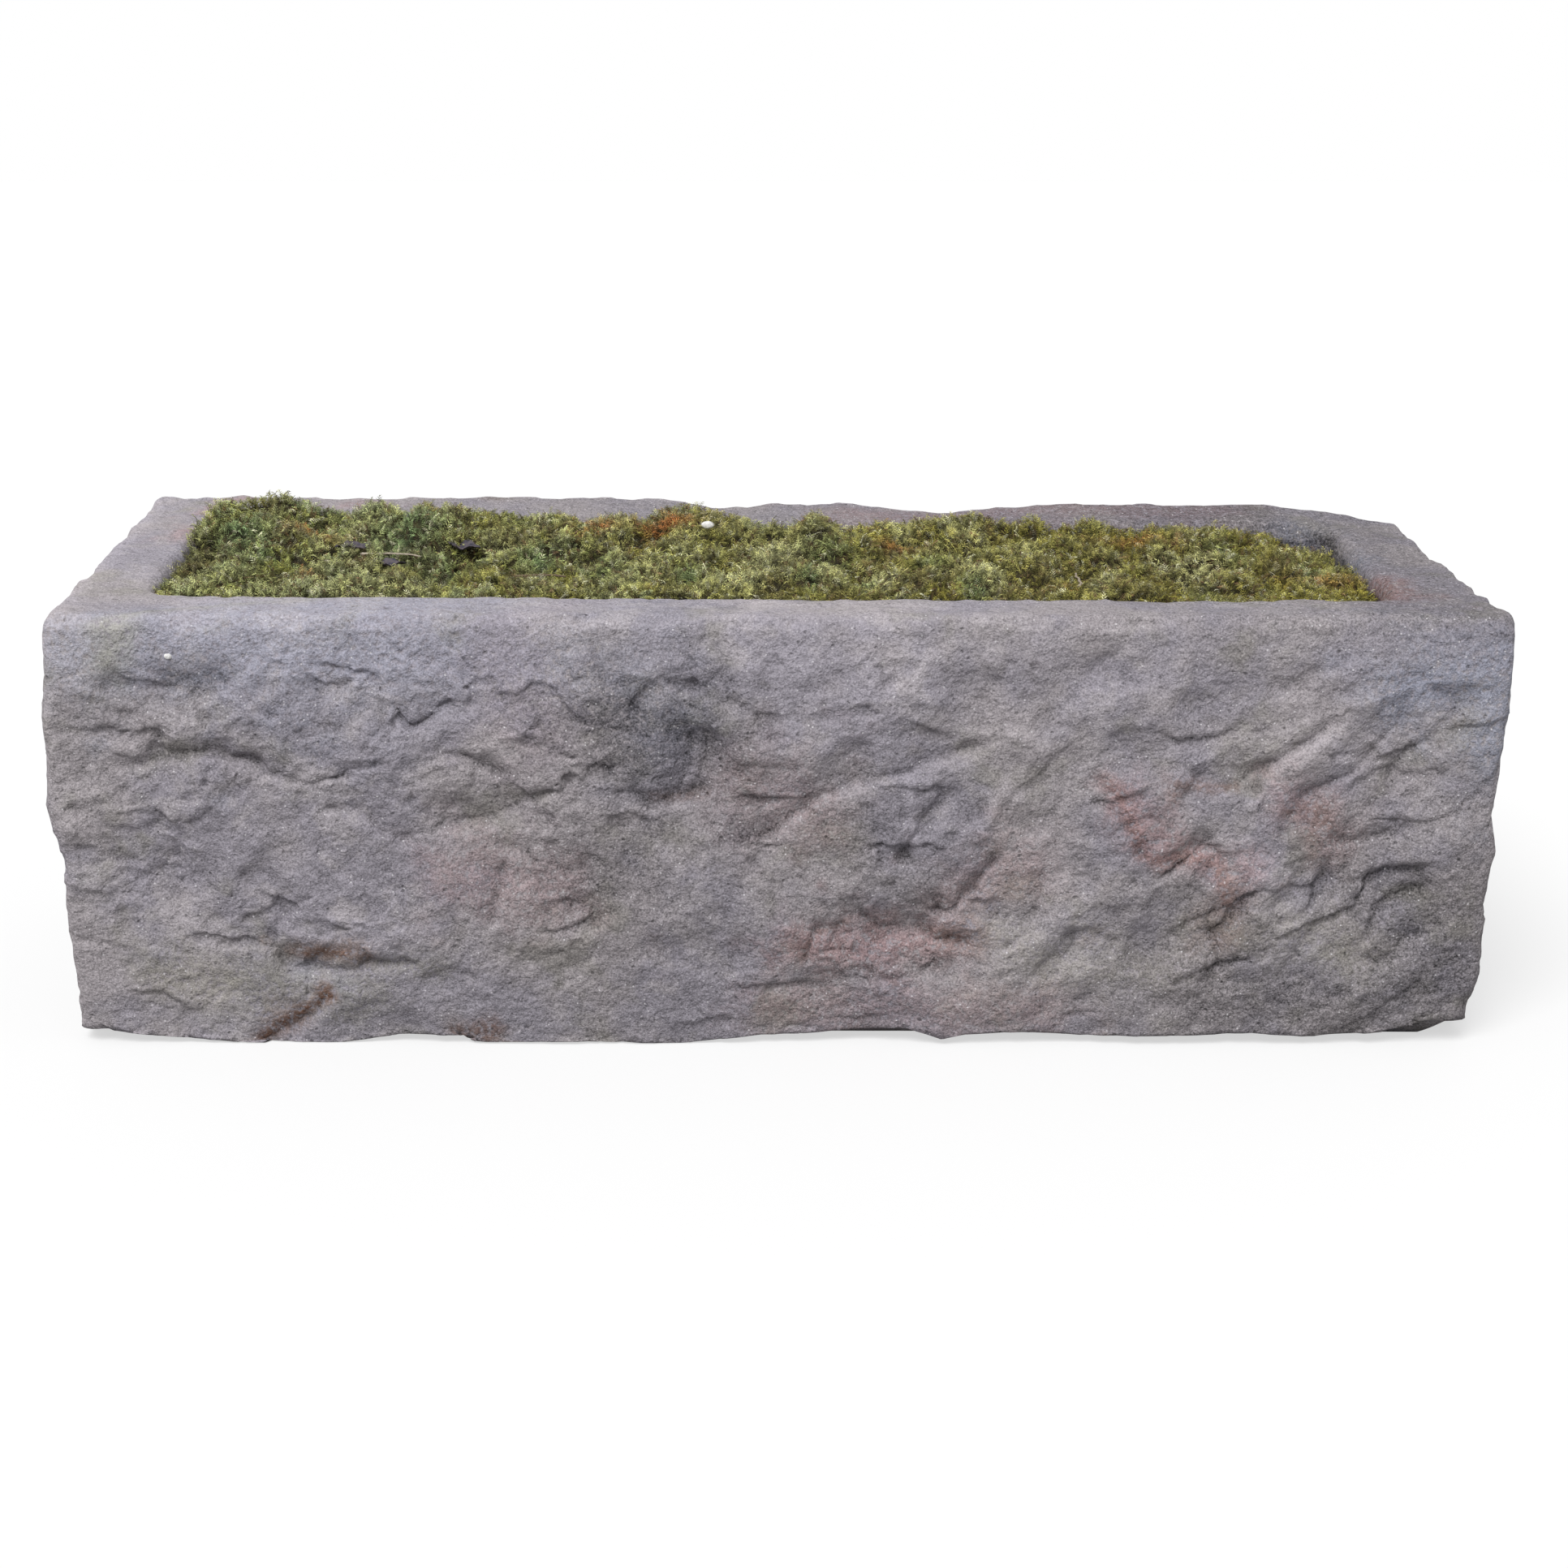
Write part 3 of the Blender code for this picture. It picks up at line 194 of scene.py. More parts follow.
# Split ledges of the front: the run of the line, the side that is hollow (1 above or right of it, -1 below
# or left), shares of the drop and the reach, and the line's corners as (along, height)
LEDGE_SHARES = (
    ("level", 1, 0.80, 0.70, ((-0.449, 0.662), (-0.401, 0.682), (-0.361, 0.664), (-0.328, 0.632),
                              (-0.297, 0.642), (-0.253, 0.694), (-0.215, 0.689), (-0.190, 0.655))),
    ("level", 1, 0.50, 0.45, ((-0.437, 0.684), (-0.402, 0.692), (-0.360, 0.670))),
    ("level", 1, 0.60, 0.50, ((-0.315, 0.560), (-0.293, 0.548), (-0.282, 0.505), (-0.266, 0.497),
                              (-0.236, 0.528), (-0.200, 0.548), (-0.171, 0.588), (-0.149, 0.622))),
    ("level", 1, 0.35, 0.25, ((-0.352, 0.755), (-0.342, 0.766), (-0.326, 0.734))),
    ("level", 1, 0.50, 0.25, ((-0.264, 0.786), (-0.249, 0.766), (-0.228, 0.803))),
    ("upright", 1, 0.40, 0.35, ((-0.286, 0.698), (-0.276, 0.744), (-0.273, 0.797))),
    ("level", 1, 0.30, 0.25, ((-0.472, 0.538), (-0.453, 0.507), (-0.431, 0.540))),
    ("level", 1, 0.35, 0.25, ((-0.474, 0.439), (-0.453, 0.399), (-0.430, 0.443))),
    ("level", -1, 0.30, 0.25, ((-0.383, 0.407), (-0.367, 0.415), (-0.340, 0.388))),
    ("level", 1, 0.85, 0.35, ((-0.359, 0.215), (-0.326, 0.196), (-0.299, 0.200), (-0.263, 0.196))),
    ("level", 1, 0.95, 0.35, ((-0.383, 0.000), (-0.356, 0.042), (-0.343, 0.066), (-0.323, 0.125))),
    ("upright", 1, 0.25, 0.30, ((-0.277, 0.392), (-0.291, 0.404), (-0.300, 0.436), (-0.301, 0.508))),
    ("upright", -1, 0.65, 0.40, ((-0.205, 0.283), (-0.200, 0.316), (-0.193, 0.371), (-0.192, 0.429))),
    ("level", -1, 0.55, 0.60, ((-0.109, 0.811), (-0.083, 0.860), (-0.064, 0.846), (-0.045, 0.860),
                               (-0.035, 0.884))),
    ("upright", 1, 0.55, 0.30, ((-0.055, 0.600), (-0.051, 0.660), (-0.048, 0.706), (-0.047, 0.749))),
    ("upright", -1, 0.60, 0.60, ((-0.062, 0.610), (-0.058, 0.660), (-0.056, 0.740))),
    ("level", -1, 0.55, 0.35, ((-0.110, 0.603), (-0.077, 0.589), (-0.047, 0.615))),
    ("level", 1, 0.30, 0.25, ((-0.133, 0.733), (-0.117, 0.745), (-0.112, 0.769))),
    ("level", -1, 0.30, 0.25, ((-0.111, 0.521), (-0.099, 0.521), (-0.089, 0.536))),
    ("upright", 1, 0.30, 0.25, ((0.002, 0.510), (-0.006, 0.549), (-0.010, 0.589))),
    ("level", 1, 1.00, 0.70, ((-0.002, 0.506), (0.040, 0.604), (0.092, 0.651), (0.139, 0.707),
                              (0.153, 0.724))),
    ("upright", 1, 0.75, 0.60, ((0.095, 0.459), (0.105, 0.516), (0.114, 0.563), (0.120, 0.591))),
    ("level", 1, 0.45, 0.50, ((0.095, 0.453), (0.112, 0.450), (0.129, 0.497), (0.154, 0.573))),
    ("level", 1, 0.80, 0.45, ((0.119, 0.325), (0.133, 0.335), (0.147, 0.383), (0.161, 0.450))),
    ("level", 1, 0.50, 0.45, ((0.022, 0.198), (0.033, 0.284), (0.062, 0.307), (0.106, 0.280),
                              (0.140, 0.255))),
    ("upright", 1, 0.45, 0.55, ((-0.022, 0.372), (-0.017, 0.420), (-0.008, 0.468), (0.002, 0.487))),
    ("level", 1, 0.35, 0.35, ((-0.094, 0.164), (-0.084, 0.194), (-0.067, 0.205))),
    ("upright", 1, 0.45, 0.45, ((0.095, 0.106), (0.107, 0.169), (0.119, 0.199))),
    ("level", 1, 0.75, 0.80, ((0.289, 0.645), (0.312, 0.628), (0.331, 0.630), (0.346, 0.643))),
    ("upright", -1, 0.85, 0.65, ((0.349, 0.611), (0.353, 0.671), (0.370, 0.703), (0.384, 0.736),
                                 (0.398, 0.776))),
    ("level", 1, 0.55, 0.50, ((0.278, 0.393), (0.311, 0.489), (0.333, 0.564), (0.349, 0.611))),
    ("upright", 1, 0.30, 0.35, ((0.261, 0.462), (0.255, 0.530), (0.247, 0.596), (0.236, 0.637))),
    ("level", 1, 0.35, 0.35, ((0.261, 0.455), (0.282, 0.451), (0.299, 0.472), (0.314, 0.462),
                              (0.323, 0.413))),
    ("level", 1, 0.45, 0.35, ((0.407, 0.497), (0.429, 0.493), (0.444, 0.505), (0.454, 0.531))),
    ("level", -1, 0.75, 0.50, ((0.425, 0.356), (0.431, 0.413), (0.451, 0.431), (0.469, 0.452))),
    ("level", -1, 0.60, 0.45, ((0.323, 0.278), (0.334, 0.336), (0.346, 0.374))),
    ("level", -1, 0.60, 0.45, ((0.366, 0.298), (0.383, 0.311), (0.392, 0.361), (0.398, 0.413))),
    ("level", 1, 0.65, 0.40, ((0.314, 0.151), (0.329, 0.200), (0.349, 0.229))),
    ("level", -1, 0.40, 0.40, ((0.245, 0.741), (0.265, 0.756), (0.287, 0.732))),
    ("level", -1, 0.50, 0.50, ((0.414, 0.621), (0.431, 0.645), (0.456, 0.658), (0.480, 0.668))),
    ("upright", -1, 0.40, 0.45, ((0.209, 0.172), (0.216, 0.225), (0.223, 0.275))),
)

# Moss cushions: shares of the bed's half length and half depth for the middle, and the crown's height over
# the front rim as a share of the moss's rise
MOSS_SHARES = (
    (-0.93, -0.42, 0.10),
    (-0.90, 0.30, 0.75),
    (-0.82, 0.84, 1.45),
    (-0.68, -0.48, 0.15),
    (-0.52, 0.70, 0.65),
    (-0.42, -0.50, 0.00),
    (-0.32, 0.62, 0.60),
    (-0.19, -0.20, 0.25),
    (-0.11, 0.80, 0.95),
    (0.02, -0.58, 0.08),
    (0.12, 0.38, 0.60),
    (0.27, -0.42, 0.15),
    (0.33, 0.74, 0.60),
    (0.48, 0.05, 0.25),
    (0.60, -0.62, 0.00),
    (0.68, 0.66, 0.35),
    (0.82, -0.12, -0.05),
    (0.95, -0.50, -0.30),
)

# Stains of the front: the colour's place in the stain attribute, its strength, its half width, and the line
# of its corners as (along, height) shares of the rim's length and the front's height
RUST, OLIVE, BLUE, PINK = range(4)
STAIN_LINE_SHARES = (
    (RUST, 0.35, 0.005, ((0.240, 0.634), (0.251, 0.596), (0.258, 0.530), (0.263, 0.462), (0.282, 0.440),
                         (0.299, 0.455), (0.314, 0.450), (0.323, 0.413), (0.330, 0.350))),
    (RUST, 1.00, 0.008, ((-0.378, 0.010), (-0.358, 0.055), (-0.346, 0.080), (-0.328, 0.120))),
    (RUST, 0.70, 0.016, ((-0.362, 0.045), (-0.350, 0.070))),
    (RUST, 0.60, 0.012, ((-0.350, 0.228), (-0.329, 0.238), (-0.295, 0.218))),
    (RUST, 0.70, 0.010, ((-0.232, 0.020), (-0.204, 0.040))),
    (RUST, 0.90, 0.008, ((-0.340, 0.222), (-0.326, 0.231), (-0.306, 0.224))),
    (RUST, 0.80, 0.007, ((-0.240, 0.000), (-0.225, 0.015), (-0.205, 0.010))),
    (RUST, 0.55, 0.006, ((0.289, 0.632), (0.312, 0.618), (0.331, 0.620))),
    (RUST, 0.45, 0.005, ((-0.083, 0.595), (-0.060, 0.590), (-0.045, 0.602))),
    (RUST, 0.45, 0.004, ((0.106, 0.280), (0.125, 0.265), (0.145, 0.250))),
    (RUST, 0.35, 0.004, ((0.022, 0.200), (0.030, 0.270), (0.055, 0.300))),
    (RUST, 0.45, 0.010, ((0.370, 0.560), (0.389, 0.570), (0.400, 0.530))),
    (OLIVE, 0.75, 0.017, ((-0.470, 0.985), (-0.457, 0.970), (-0.467, 0.906))),
    (OLIVE, 0.50, 0.040, ((-0.440, 0.170), (-0.380, 0.130), (-0.300, 0.120))),
    (OLIVE, 0.40, 0.040, ((0.160, 0.280), (0.200, 0.210), (0.280, 0.170))),
    (OLIVE, 0.35, 0.045, ((0.320, 0.300), (0.380, 0.280), (0.430, 0.230))),
    (OLIVE, 0.45, 0.018, ((-0.330, 0.225), (-0.290, 0.195), (-0.240, 0.190))),
    (BLUE, 0.95, 0.045, ((0.446, 0.847), (0.473, 0.870), (0.500, 0.830), (0.505, 0.740))),
    (BLUE, 0.70, 0.012, ((-0.428, 0.870), (-0.407, 0.858), (-0.385, 0.870))),
    (BLUE, 0.50, 0.014, ((-0.345, 0.190), (-0.326, 0.170), (-0.318, 0.140))),
    (BLUE, 0.45, 0.050, ((-0.100, 0.860), (-0.070, 0.760))),
    (BLUE, 0.60, 0.060, ((-0.490, 0.930), (-0.250, 0.920), (-0.150, 0.880))),
    (PINK, 0.85, 0.032, ((0.023, 0.253), (0.075, 0.230), (0.133, 0.255))),
    (PINK, 1.00, 0.012, ((0.241, 0.625), (0.252, 0.585), (0.262, 0.520), (0.266, 0.470), (0.280, 0.450),
                         (0.300, 0.462), (0.318, 0.450), (0.325, 0.400), (0.330, 0.350))),
    (PINK, 0.75, 0.022, ((0.252, 0.600), (0.268, 0.520), (0.300, 0.470), (0.332, 0.400))),
    (PINK, 0.60, 0.030, ((0.330, 0.330), (0.340, 0.430))),
    (PINK, 0.55, 0.030, ((0.370, 0.580), (0.389, 0.565), (0.400, 0.500))),
    (PINK, 0.45, 0.035, ((0.130, 0.360), (0.180, 0.420))),
    (PINK, 0.45, 0.040, ((-0.230, 0.420), (-0.160, 0.380))),
    (PINK, 0.40, 0.040, ((0.000, 0.080), (0.120, 0.060), (0.200, 0.060))),
    (PINK, 0.35, 0.050, ((-0.190, 0.900), (-0.170, 0.800))),
    (PINK, 0.35, 0.040, ((-0.020, 0.640), (0.030, 0.560))),
)

# Stains of the rim and the hollow's wall, with plan shares (along, across) of the rim's length and depth
RIM_STAIN_SHARES = (
    (PINK, 0.90, 0.018, ((-0.451, 0.342), (-0.447, 0.400))),
    (PINK, 0.80, 0.026, ((-0.449, 0.180), (-0.449, 0.140))),
    (PINK, 0.70, 0.016, ((-0.445, 0.457), (-0.429, 0.487))),
    (PINK, 0.60, 0.018, ((-0.342, 0.420), (-0.330, 0.440))),
    (PINK, 1.00, 0.030, ((0.437, -0.140), (0.440, -0.253), (0.445, -0.300))),
    (PINK, 0.50, 0.040, ((0.359, 0.440), (0.200, 0.450), (0.062, 0.400))),
    (RUST, 0.35, 0.012, ((0.439, -0.180), (0.440, -0.250))),
    (RUST, 0.35, 0.008, ((-0.238, 0.470), (-0.225, 0.475))),
    (OLIVE, 0.60, 0.010, ((-0.473, 0.370), (-0.470, 0.385))),
    (BLUE, 0.90, 0.030, ((0.405, 0.300), (0.419, 0.164), (0.430, 0.080))),
    (BLUE, 0.60, 0.030, ((-0.428, 0.177), (-0.428, 0.060))),
)

# Darker and paler places of the front: the tone, from -1 to 1, the half width, and the line of corners
TONE_LINE_SHARES = (
    (-0.90, 0.010, ((-0.428, 0.872), (-0.407, 0.858), (-0.385, 0.872))),
    (-0.80, 0.005, ((0.052, 0.185), (0.093, 0.175), (0.133, 0.205))),
    (-0.70, 0.009, ((-0.038, 0.872), (-0.028, 0.868))),
    (-0.60, 0.008, ((-0.015, 0.866), (-0.006, 0.866))),
    (-0.45, 0.050, ((0.319, 0.108), (0.400, 0.120), (0.481, 0.138))),
    (-0.45, 0.050, ((-0.100, 0.800), (-0.055, 0.810))),
    (0.50, 0.025, ((0.199, 0.474), (0.223, 0.379))),
    (0.50, 0.030, ((0.319, 0.494), (0.366, 0.399))),
    (0.40, 0.028, ((0.380, 0.265), (0.427, 0.207))),
    (0.80, 0.006, ((0.099, 0.634), (0.103, 0.483))),
    (-0.80, 0.060, ((-0.110, 0.780), (-0.080, 0.700), (-0.040, 0.720))),
    (-0.50, 0.050, ((-0.130, 0.420), (-0.100, 0.400))),
    (-0.45, 0.030, ((-0.420, 0.690), (-0.370, 0.685))),
    (-0.45, 0.050, ((0.080, 0.520), (0.110, 0.420))),
    (-0.35, 0.060, ((0.420, 0.380), (0.460, 0.300))),
    (-0.40, 0.030, ((0.340, 0.300), (0.350, 0.350))),
    (0.55, 0.035, ((-0.300, 0.260), (-0.270, 0.240), (-0.320, 0.290))),
    (0.50, 0.045, ((0.150, 0.300), (0.170, 0.240), (0.220, 0.200))),
    (0.55, 0.040, ((0.350, 0.430), (0.370, 0.340), (0.380, 0.270), (0.410, 0.240))),
    (0.45, 0.030, ((0.340, 0.640), (0.370, 0.690), (0.400, 0.740))),
    (0.35, 0.040, ((-0.400, 0.110), (-0.340, 0.100))),
    (0.35, 0.050, ((0.000, 0.870), (0.100, 0.900))),
)

# The litter on the moss: shares of the bed for the middle, share of the full length, turn in degrees, and how
# bleached a stem is. A pebble's shape is its extent each way, and its bumps have a size, a height and what is
# added to its seed. A leaf's foot and tip are places on a leaf of length 1.
SEAT_GAP = 0.0003
PEBBLE_LENGTH = 0.015
PEBBLE_SHAPE = (1.0, 0.75, 0.6)
PEBBLE_BUMPS = ((0.45, 0.12, 0), (0.15, 0.03, 2))
FLECK_LENGTH = 0.0085
FLECK_SHARES = (-0.415, 0.912)
PEBBLE_SHARES = (-0.115, 0.44)
LEAF_LENGTH = 0.042
LEAF_THICKNESS = 0.0012
LEAF_FOOT = (-0.56, 0.0, 0.0325)
LEAF_TIP = (0.55, 0.0, 0.0825)
LEAF_SHARES = ((-0.725, 0.07, 1.0, 15.0), (-0.650, -0.34, 0.85, -12.0), (-0.535, 0.09, 1.0, -35.0))
STEM_RADIUS = 0.0015
STEM_LENGTH = 0.070
STEM_SHARES = ((-0.745, -0.28, 0.50, -45.0, 0.85), (-0.655, -0.13, 1.0, -13.0, 1.0),
               (-0.390, -0.53, 0.80, -4.0, 0.1), (-0.438, 0.05, 0.90, -68.0, 0.25),
               (0.514, -0.58, 0.90, 84.0, 0.7))

# How finely each piece is drawn
SIDE_SPACINGS = (0.0020, 0.0030, 0.0036, 0.0030)
ROW_SPACING = 0.0022
STONE_KEPT_SHARE = 0.205
BASE_RING_SHARES = (0, 0.35, 0.7, 1)
LIP_ROWS = 7
BURIED_ROWS = 5
MAT_ANGLES = 80
MAT_RINGS = 18
PEBBLE_RINGS = 16
LEAF_RINGS = 40
LEAF_AROUND = 24
STEM_RINGS = 60
STEM_AROUND = 10

# The finer stone: cell, depth and seed of each noise, the reach by which a place counts as lying low, for the
# dirt and painted shade of the hollows, and how much paler or darker the large parts of the block are, the
# hollow's wall by painted shade
STONE_GRAIN = ((0.016, 0.0009, 51), (0.008, 0.0005, 53))
HOLLOW_REACH = 0.012
MARGIN_TONE = 0.30
LEFT_TONE = 0.35
RIGHT_TONE = 0.80
LOW_TONE = 0.30
LEFT_RIM_DARK = 0.60
BACK_RIM_DARK = 0.85
RIGHT_RIM_DARK = 0.30
WALL_PAINTED_SHADE = 1.30

# Where those tones fade in: along the length and up the height of the block, and in plan on the rim
LEFT_TONE_SIDES = (0.1, 0.4)
RIGHT_TONE_SIDES = (0, 0.5)
RIGHT_FOOT_SIDES = (0.15, 0.45)
LOW_TONE_SIDES = (-0.45, -0.10)
MARGIN_TONE_HEIGHTS = (0.80, 0.95)
RIM_TONE_HEIGHTS = (0.93, 1.0)
RIGHT_FOOT_HEIGHTS = (0.2, 0.8)
LOW_TONE_HEIGHTS = (0.35, 0.85)
MARGIN_TONE_LEAN = 1.5
MARGIN_TONE_WAVE = 0.05
RIM_LEFT_SHARES = (0.40, 0.44)
RIM_RIGHT_SHARES = (0.38, 0.44)
RIM_BACK_SHARES = (0.20, 0.34)
RIM_EDGE_SHARES = (0.5, 0.485)
FRONT_STAIN_WANDER = (0.6, 0.4)
RIM_STAIN_WANDER = (0.5, 0.5)

# The moss's shoots
SHOOT_LENGTH = 0.0150
SHOOT_SPACING = 0.0034
SHOOT_LENGTH_SHARES = (0.7, 1.5)
SHOOT_BENDS = (0.3, 1.7)
SHARED_LEAN = 0.5
OWN_LEAN = 0.30
SLOPE_LEAN = 0.5
TIP_SCATTER_SHARE = 0.12
FROND_STEM_SHARE = 0.024
FROND_PAIRS = 5
BRANCH_REACH_SHARE = 0.34
BRANCH_WIDTH_SHARE = 0.032
LEAN_SIZE = 0.030
MAT_DEPTH = 0.009
MOSS_SPILL = 0.013
WALL_SHOULDER = 0.030
WALL_SHARE = 0.92
FOLD_SHARE = 0.84

# Rusty places in the moss: shares of the bed for the middle, of its half depth for the width, and a strength
RUST_DEPTH_SHARE = 1.5
RUST_PATCH_SHARES = (
    (-0.31, 0.54, 0.18, 1.0), (-0.19, 0.64, 0.24, 1.0), (-0.80, 0.30, 0.20, 0.9), (0.66, 0.57, 0.22, 0.8),
    (-0.79, -0.62, 0.10, 0.9), (0.47, -0.75, 0.10, 0.9), (0.22, 0.30, 0.14, 0.7), (0.95, -0.20, 0.25, 0.5),
    (-0.60, 0.95, 0.12, 0.6))

# Tufts of the moss: what is strong in each, how strong, shares of the bed's half depth for the half width,
# and of the bed for the middle. The dark ones are gaps that sink and are painted in shade, and the pale ones
# rise a little. The trim raises or lowers the back of the moss, at shares of the bed's half length, by shares
# of the moss's rise.
GREEN, DARK, PALE, GOLD = range(4)
TUFT_SINK = 0.012
TUFT_RISE = 0.004
TUFT_DEPTH_SHARE = 0.55
TUFT_SIZE = 0.034
TUFT_LUMP = 0.0085
TUFT_LEVEL = 0.4
TUFT_POWER = 0.8
TUFT_MEAN = 0.8
TUFT_WALL_SHARE = 0.4
TUFT_TOPS = (0.8, 1.6)
TUFT_CREASES = (0.05, 0.45)
TRIM_DEPTH_SHARE = 0.7
# Painted shade in the creases between the small tufts, and painted highlight on their tops, more at the left
# and less at the right
CREASE_PAINTED_SHADE = 0.75
TUFT_TOP_PAINTED_LIGHT = 0.40
LEFT_GREEN = 0.25
LEFT_PALE_GAIN = 0.5
RIGHT_GOLD = 0.70
RIGHT_PALE_LOSS = 0.45
SKYLINE_TRIM_SHARES = (
    (-1.0, 0.10), (-0.93, 0.0), (-0.87, -0.28), (-0.81, -0.55), (-0.75, -0.90), (-0.70, -0.35),
    (-0.64, 0.10), (-0.52, 0.18), (-0.46, -0.05), (-0.40, 0.30), (-0.34, -0.20), (-0.22, 0.12),
    (-0.11, -0.10), (-0.05, -0.55), (0.01, -0.48), (0.07, 0.08), (0.13, -0.48), (0.19, 0.0), (0.25, -0.30),
    (0.31, 0.0), (0.36, 0.06), (0.42, -0.36), (0.48, 0.14), (0.54, 0.12), (0.60, -0.05), (0.72, -0.26),
    (0.80, -0.10), (0.90, -0.12), (0.95, -0.36), (1.0, -0.50))
TUFT_SHARES = (
    (GREEN, 0.9, 0.22, -0.931, 0.24), (GREEN, 0.8, 0.13, -0.886, -0.08), (GREEN, 0.6, 0.13, -0.778, 0.42),
    (GREEN, 0.9, 0.31, -0.636, 0.25), (GREEN, 0.8, 0.20, -0.405, -0.13), (GREEN, 0.5, 0.24, -0.861, 0.40),
    (GREEN, 0.6, 0.22, -0.571, -0.19), (DARK, 1.0, 0.22, -0.985, -0.22), (DARK, 0.7, 0.15, -0.911, 0.86),
    (DARK, 0.6, 0.13, -0.490, 0.36), (DARK, 0.7, 0.13, -0.444, 0.28), (DARK, 0.8, 0.13, -0.706, -0.30),
    (DARK, 0.6, 0.18, -0.616, -0.50), (DARK, 0.9, 0.15, -0.425, -0.51), (DARK, 0.5, 0.13, -0.780, -0.50),
    (DARK, 0.6, 0.09, -0.489, -0.65), (PALE, 0.8, 0.18, -0.954, -0.86), (PALE, 0.9, 0.24, -0.738, -0.88),
    (PALE, 0.9, 0.22, -0.673, -0.83), (PALE, 0.8, 0.20, -0.598, -0.88), (PALE, 0.6, 0.16, -0.802, -0.96),
    (PALE, 0.5, 0.13, -0.868, -0.96), (PALE, 0.5, 0.16, -0.695, 0.57), (GOLD, 0.8, 0.16, -0.515, -0.30),
    (GOLD, 0.9, 0.24, -0.337, -0.82), (GOLD, 0.6, 0.18, -0.381, -0.93), (GOLD, 0.5, 0.18, -0.849, -0.50),
    (GOLD, 0.6, 0.16, -0.567, 0.61), (GOLD, 0.8, 0.16, -0.091, 0.89), (GOLD, 0.8, 0.18, -0.067, 0.31),
    (GOLD, 0.7, 0.15, -0.144, -0.75), (GOLD, 0.6, 0.13, 0.024, 0.67), (GOLD, 0.7, 0.18, 0.157, 0.22),
    (GOLD, 0.6, 0.16, -0.218, 0.11), (PALE, 0.9, 0.26, -0.007, -0.05), (PALE, 0.9, 0.20, -0.051, -0.64),
    (PALE, 0.8, 0.09, -0.139, -0.05), (PALE, 0.8, 0.16, 0.089, -0.55), (PALE, 0.7, 0.16, -0.204, -0.45),
    (PALE, 0.8, 0.16, 0.182, -0.63), (PALE, 0.7, 0.16, 0.226, 0.79), (PALE, 0.6, 0.15, -0.257, -0.75),
    (GREEN, 0.9, 0.11, -0.142, -0.47), (GREEN, 0.8, 0.09, 0.063, -0.71), (GREEN, 0.7, 0.09, 0.152, -0.67),
    (GREEN, 0.5, 0.18, 0.096, 0.04), (GREEN, 0.5, 0.15, -0.291, -0.33), (DARK, 0.9, 0.08, -0.114, -0.21),
    (DARK, 0.7, 0.07, -0.162, -0.44), (DARK, 0.8, 0.13, 0.010, -0.86), (DARK, 0.6, 0.15, 0.031, -0.35),
    (DARK, 0.5, 0.16, 0.080, 0.36), (DARK, 0.8, 0.09, 0.113, -0.90), (DARK, 1.0, 0.11, 0.242, -0.75),
    (DARK, 0.5, 0.11, -0.293, 0.17), (DARK, 0.6, 0.09, -0.181, -0.88), (PALE, 0.9, 0.18, 0.353, -0.51),
    (PALE, 0.8, 0.18, 0.733, -0.13), (PALE, 0.6, 0.15, 0.556, -0.66), (PALE, 0.6, 0.15, 0.342, 0.50),
    (PALE, 0.5, 0.16, 0.447, 0.04), (PALE, 0.6, 0.13, 0.672, 0.05), (GREEN, 0.7, 0.13, 0.940, 0.01),
    (GREEN, 0.8, 0.09, 0.334, -0.91), (GREEN, 0.6, 0.15, 0.799, 0.32), (GREEN, 0.6, 0.11, 0.712, -0.81),
    (GREEN, 0.4, 0.16, 0.276, -0.18), (GOLD, 0.9, 0.26, 0.950, -0.65), (GOLD, 0.8, 0.22, 0.822, -0.17),
    (GOLD, 0.7, 0.15, 0.585, -0.04), (GOLD, 0.7, 0.16, 0.498, 0.70), (GOLD, 0.7, 0.16, 0.390, -0.02),
    (GOLD, 0.7, 0.20, 0.863, -0.73), (GOLD, 0.5, 0.16, 0.658, 0.51), (DARK, 0.8, 0.11, 0.293, -0.51),
    (DARK, 0.8, 0.11, 0.454, -0.76), (DARK, 0.8, 0.11, 0.645, -0.62), (DARK, 0.8, 0.11, 0.711, -0.77),
    (DARK, 0.7, 0.07, 0.898, -0.12), (DARK, 0.6, 0.09, 1.008, -0.80), (DARK, 0.5, 0.13, 0.521, -0.38),
    (DARK, 0.5, 0.11, 0.591, -0.81), (DARK, 0.5, 0.09, 0.402, -0.85), (DARK, 0.5, 0.11, 0.784, -0.68),
    (DARK, 0.7, 0.14, -0.620, 0.05), (DARK, 0.8, 0.14, 0.870, 0.10), (DARK, 0.6, 0.12, 0.560, 0.20),
    (DARK, 0.6, 0.12, -0.250, -0.20), (DARK, 0.6, 0.12, 0.180, -0.15), (DARK, 0.6, 0.12, 0.700, -0.40),
)

# Colours, and the patches that mottle them: the size, the levels that they spread between, the share of the
# sandstone's, and the tint. Stains and tufts have their kind, share and tint, and the odd shoots the range of
# their own value.
SANDSTONE_COLOUR = (0.270, 0.251, 0.283, 1)
SANDSTONE_MOTTLES = ((0.16, 0.42, 0.60, 1.0, (0.308, 0.281, 0.294, 1)),
                     (0.055, 0.50, 0.64, 0.5, (0.365, 0.335, 0.345, 1)),
                     (0.075, 0.54, 0.70, 0.6, (0.240, 0.225, 0.205, 1)))
STAIN_TINTS = ((PINK, 0.8, (0.350, 0.222, 0.222, 1)), (BLUE, 0.8, (0.255, 0.268, 0.335, 1)),
               (OLIVE, 0.7, (0.245, 0.235, 0.170, 1)), (RUST, 1.0, (0.135, 0.070, 0.045, 1)))
SHOOT_FOOT = (0.070, 0.058, 0.020, 1)
MOSS_COLOUR = (0.490, 0.490, 0.165, 1)
